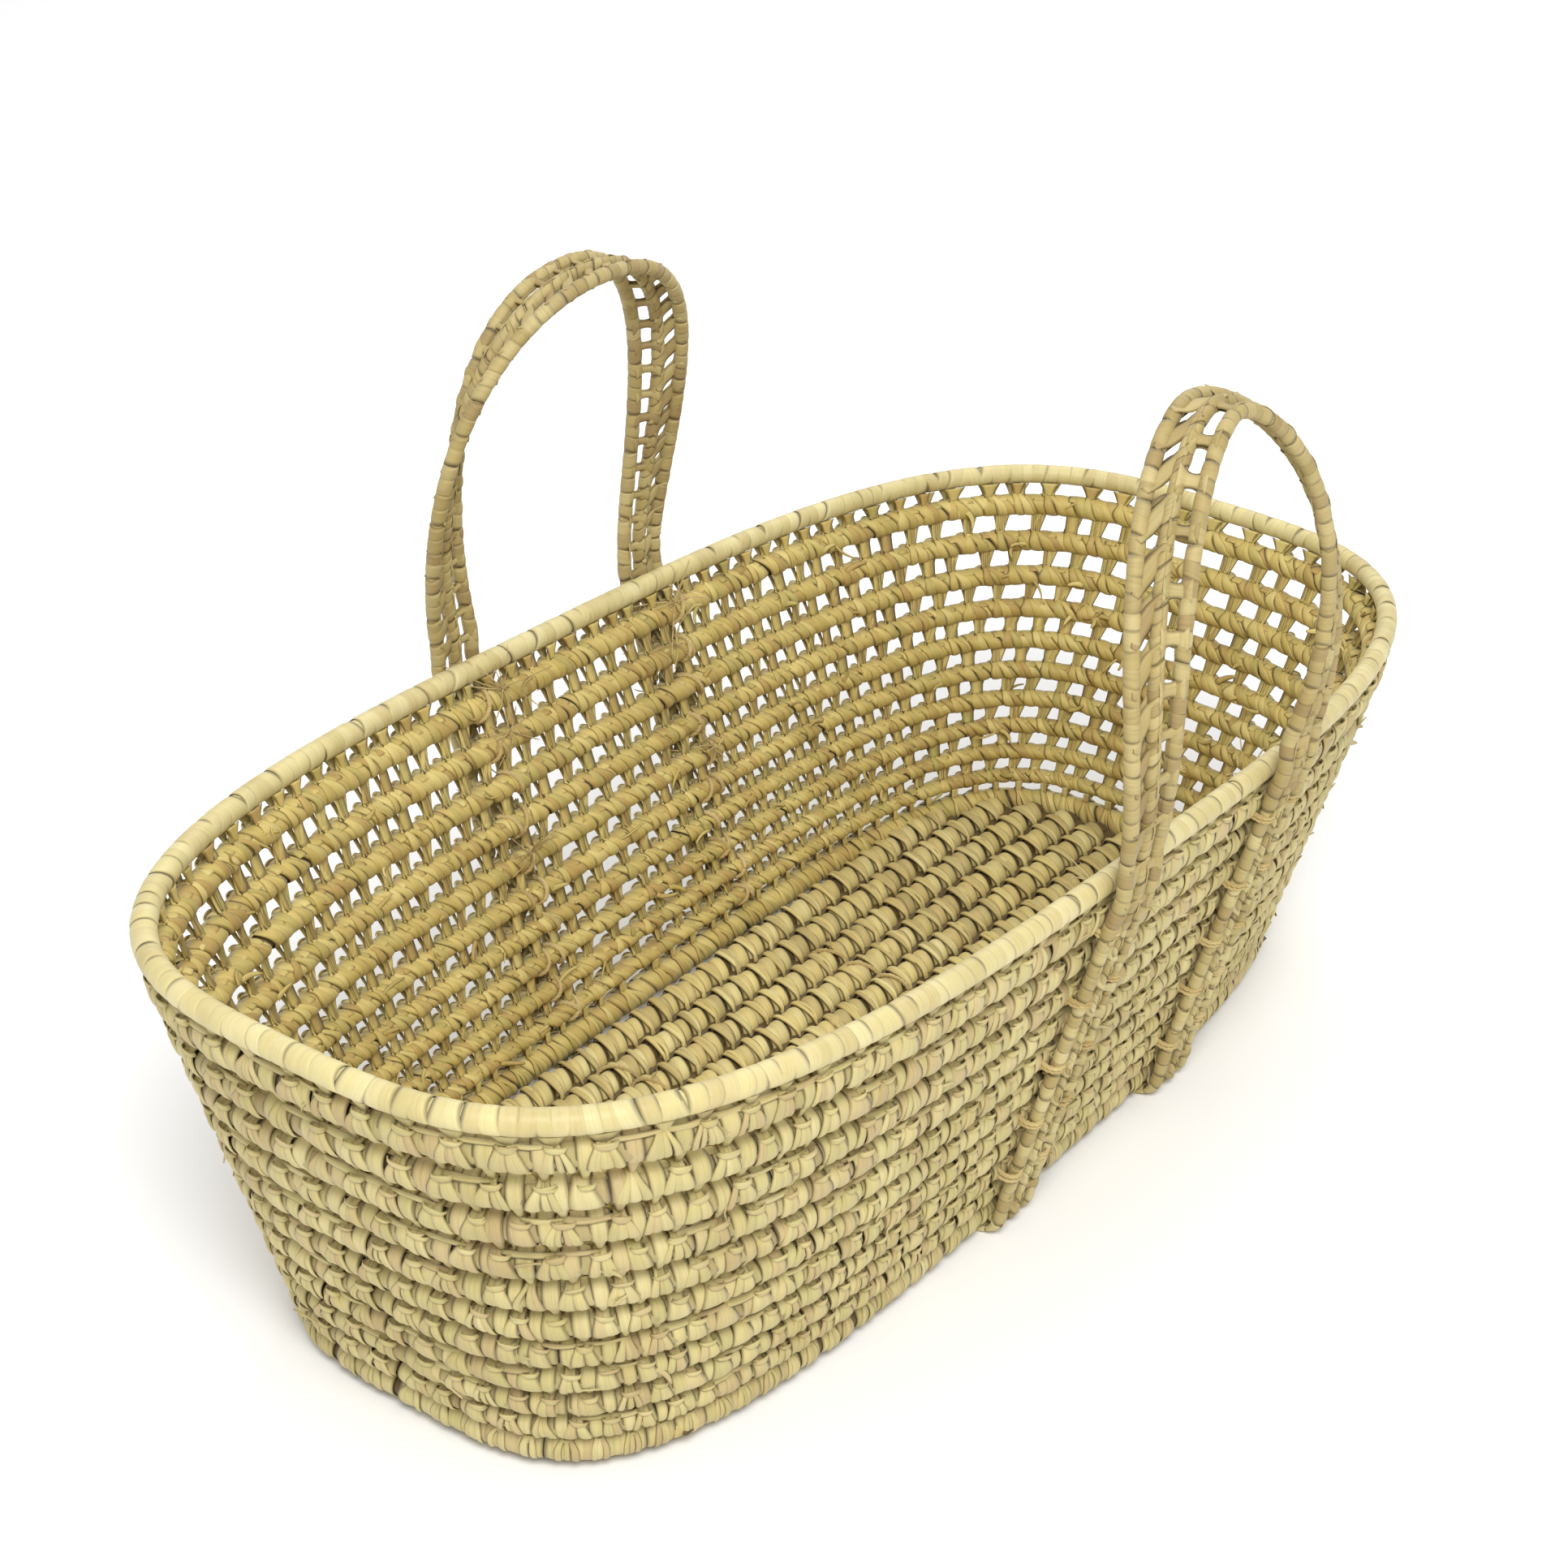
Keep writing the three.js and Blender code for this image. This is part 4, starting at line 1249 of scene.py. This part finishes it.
def leaf_material(name, palettes, rough=(0.45, 0.7), bump=0.35, edges=0.6, veining=0.6):
    """Dried palm leaf. palettes holds the strip colours on the outside and the inside."""
    n = Nodes(name)
    strip = n.add("ShaderNodeAttribute", attribute_name="strip", attribute_type="GEOMETRY")
    split = n.add("ShaderNodeSeparateColor")
    n.link(strip.outputs["Color"], split.inputs[0])
    raw_tone, across, along = split.outputs
    side = strip.outputs["Alpha"]
    is_under = n.math("GREATER_THAN", raw_tone, 1.5)
    is_core_or_shade_sheet = n.math("LESS_THAN", raw_tone, 0.0001)
    tone = n.math("SUBTRACT", raw_tone, n.math("MULTIPLY", is_under, float(UNDER)))
    position = n.add("ShaderNodeTexCoord").outputs["Object"]
    vein = leaf_veins(n, tone, across, along)
    blotch = n.noise(position, 26.0, 4.0)
    fine = n.noise(position, 420.0, 3.0)
    color = leaf_color(n, palettes, tone, side, across, vein, blotch, edges, veining)
    # Painted shade: strips that lie under others are darkened where they are on the outside, standing for
    # the shade in the slits under the strips over them
    painted_under_shade = n.math("MULTIPLY", is_under, n.math("MULTIPLY", side, 0.35))
    color = n.mix(painted_under_shade, color, (0.30, 0.24, 0.14, 1), "MULTIPLY")
    # Cores and the floor's valley sheet take the dark core brown, which also serves as painted shade in
    # the gaps
    n.link(n.mix(is_core_or_shade_sheet, color, CORE_AND_SHADE_BROWN), n.shader.inputs["Base Color"])
    leaf_surface(n, vein, fine, rough, bump)
    return n.material


OUTSIDE = shades(
    (203, 188, 130), (194, 182, 123), (208, 194, 140), (190, 178, 121), (200, 183, 131), (190, 170, 121),
)
INSIDE = shades(
    (208, 186, 112), (194, 173, 98), (217, 198, 126), (184, 169, 98), (203, 180, 108), (184, 157, 92),
)
RIM_TONES = shades((213, 199, 142), (205, 192, 136), (218, 206, 154), (202, 186, 132))
FLOOR_TONES = shades((218, 200, 132), (200, 182, 118), (224, 210, 148), (184, 167, 111), (208, 187, 124))
BAND_TONES = shades((180, 161, 106), (168, 149, 95), (190, 173, 120), (176, 160, 108), (160, 138, 91))
STRAP_TONES = shades((196, 181, 126), (182, 166, 112), (168, 148, 96), (204, 190, 138))
JUTE_TONES = shades((214, 192, 136), (196, 172, 114))
# The fibre cores' own brown, kept dark enough to be painted shade where gaps show a core and on the
# floor's valley sheet
CORE_AND_SHADE_BROWN = linear(92, 74, 38)


# Camera, light and ground

# The camera stands over the head end's near corner; turns in radians, places in metres
CAMERA_YAW, CAMERA_PITCH, CAMERA_ROLL = -0.9356, 0.5248, 0.0158
CAMERA_PLACE = (-1.2343, -0.8806, 1.0783)
CAMERA_LENS = 75.0
CAMERA_SHIFT = (-0.0022, 0.001)
WORLD_STRENGTH = 0.72


def set_place(thing, right, up, back, place):
    bpy.context.scene.collection.objects.link(thing)
    matrix = np.eye(4)
    matrix[:3, 0], matrix[:3, 1], matrix[:3, 2], matrix[:3, 3] = right, up, back, place
    thing.matrix_world = Matrix(matrix.tolist())


def add_camera():
    data = bpy.data.cameras.new("camera")
    data.lens = CAMERA_LENS
    data.sensor_width = 36.0
    data.shift_x, data.shift_y = CAMERA_SHIFT
    data.clip_start = 0.05
    data.clip_end = 50
    camera = bpy.data.objects.new("camera", data)
    bpy.context.scene.camera = camera
    level = math.cos(CAMERA_PITCH)
    back = np.array(
        [math.sin(CAMERA_YAW) * level, -math.cos(CAMERA_YAW) * level, math.sin(CAMERA_PITCH)]
    )
    right = np.array([math.cos(CAMERA_YAW), math.sin(CAMERA_YAW), 0.0])
    up = np.cross(back, right)
    c, s = math.cos(CAMERA_ROLL), math.sin(CAMERA_ROLL)
    set_place(camera, right * c + up * s, up * c - right * s, back, CAMERA_PLACE)


def add_light(name, place, target, size, power):
    data = bpy.data.lights.new(name, "AREA")
    data.shape = "SQUARE"
    data.size = size
    data.energy = power
    light = bpy.data.objects.new(name, data)
    back = unit(np.array(place, float) - np.array(target, float))
    right = unit(np.cross([0.0, 0.0, 1.0], back))
    set_place(light, right, np.cross(back, right), back, place)


def add_world():
    world = bpy.data.worlds.new("studio")
    world.use_nodes = True
    background = world.node_tree.nodes["Background"]
    background.inputs["Color"].default_value = (1, 1, 1, 1)
    background.inputs["Strength"].default_value = WORLD_STRENGTH
    bpy.context.scene.world = world


def add_ground():
    n = Nodes("ground")
    n.shader.inputs["Base Color"].default_value = (0.93, 0.93, 0.93, 1)
    n.shader.inputs["Roughness"].default_value = 0.9
    mesh = bpy.data.meshes.new("ground")
    far = 12
    corners = [(-far, -far, 0), (far, -far, 0), (far, far, 0), (-far, far, 0)]
    mesh.from_pydata(corners, [], [(0, 1, 2, 3)])
    mesh.materials.append(n.material)
    ground = bpy.data.objects.new("ground", mesh)
    bpy.context.scene.collection.objects.link(ground)


add_camera()
add_world()
add_light("key", place=(-1.45, -1.35, 2.5), target=(0.1, 0, 0.1), size=1.2, power=70)
add_light("fill", place=(1.8, 0.8, 2.4), target=(0, 0, 0.1), size=2.0, power=25)
add_ground()
bpy.context.scene.view_settings.view_transform = "Standard"

wall_leaf = leaf_material("wall_leaf", (OUTSIDE, INSIDE))
rim_leaf = leaf_material(
    "rim_leaf", (RIM_TONES,), rough=(0.35, 0.6), bump=0.2, edges=0.15, veining=0.35
)
floor_leaf = leaf_material("floor_leaf", (FLOOR_TONES,))
band_leaf = leaf_material("band_leaf", (BAND_TONES,), edges=0.25, bump=0.25)
strap_leaf = leaf_material("strap_leaf", (STRAP_TONES,), edges=0.4)
jute = leaf_material("jute", (JUTE_TONES,), rough=(0.8, 0.95), bump=0.8, edges=0, veining=0.9)

rim(rim_leaf)
for number in range(1, WALL_COILS + 1):
    wall_coil(number, wall_leaf)
edge_ring(wall_leaf)
for number in range(1, FLOOR_COILS + 1):
    floor_coil(number, floor_leaf)
for side in (-1, 1):
    handle(side, band_leaf)
    strap(side, strap_leaf)
    for end in (-1, 1):
        twine(side, end, jute)
floor_twine(jute)
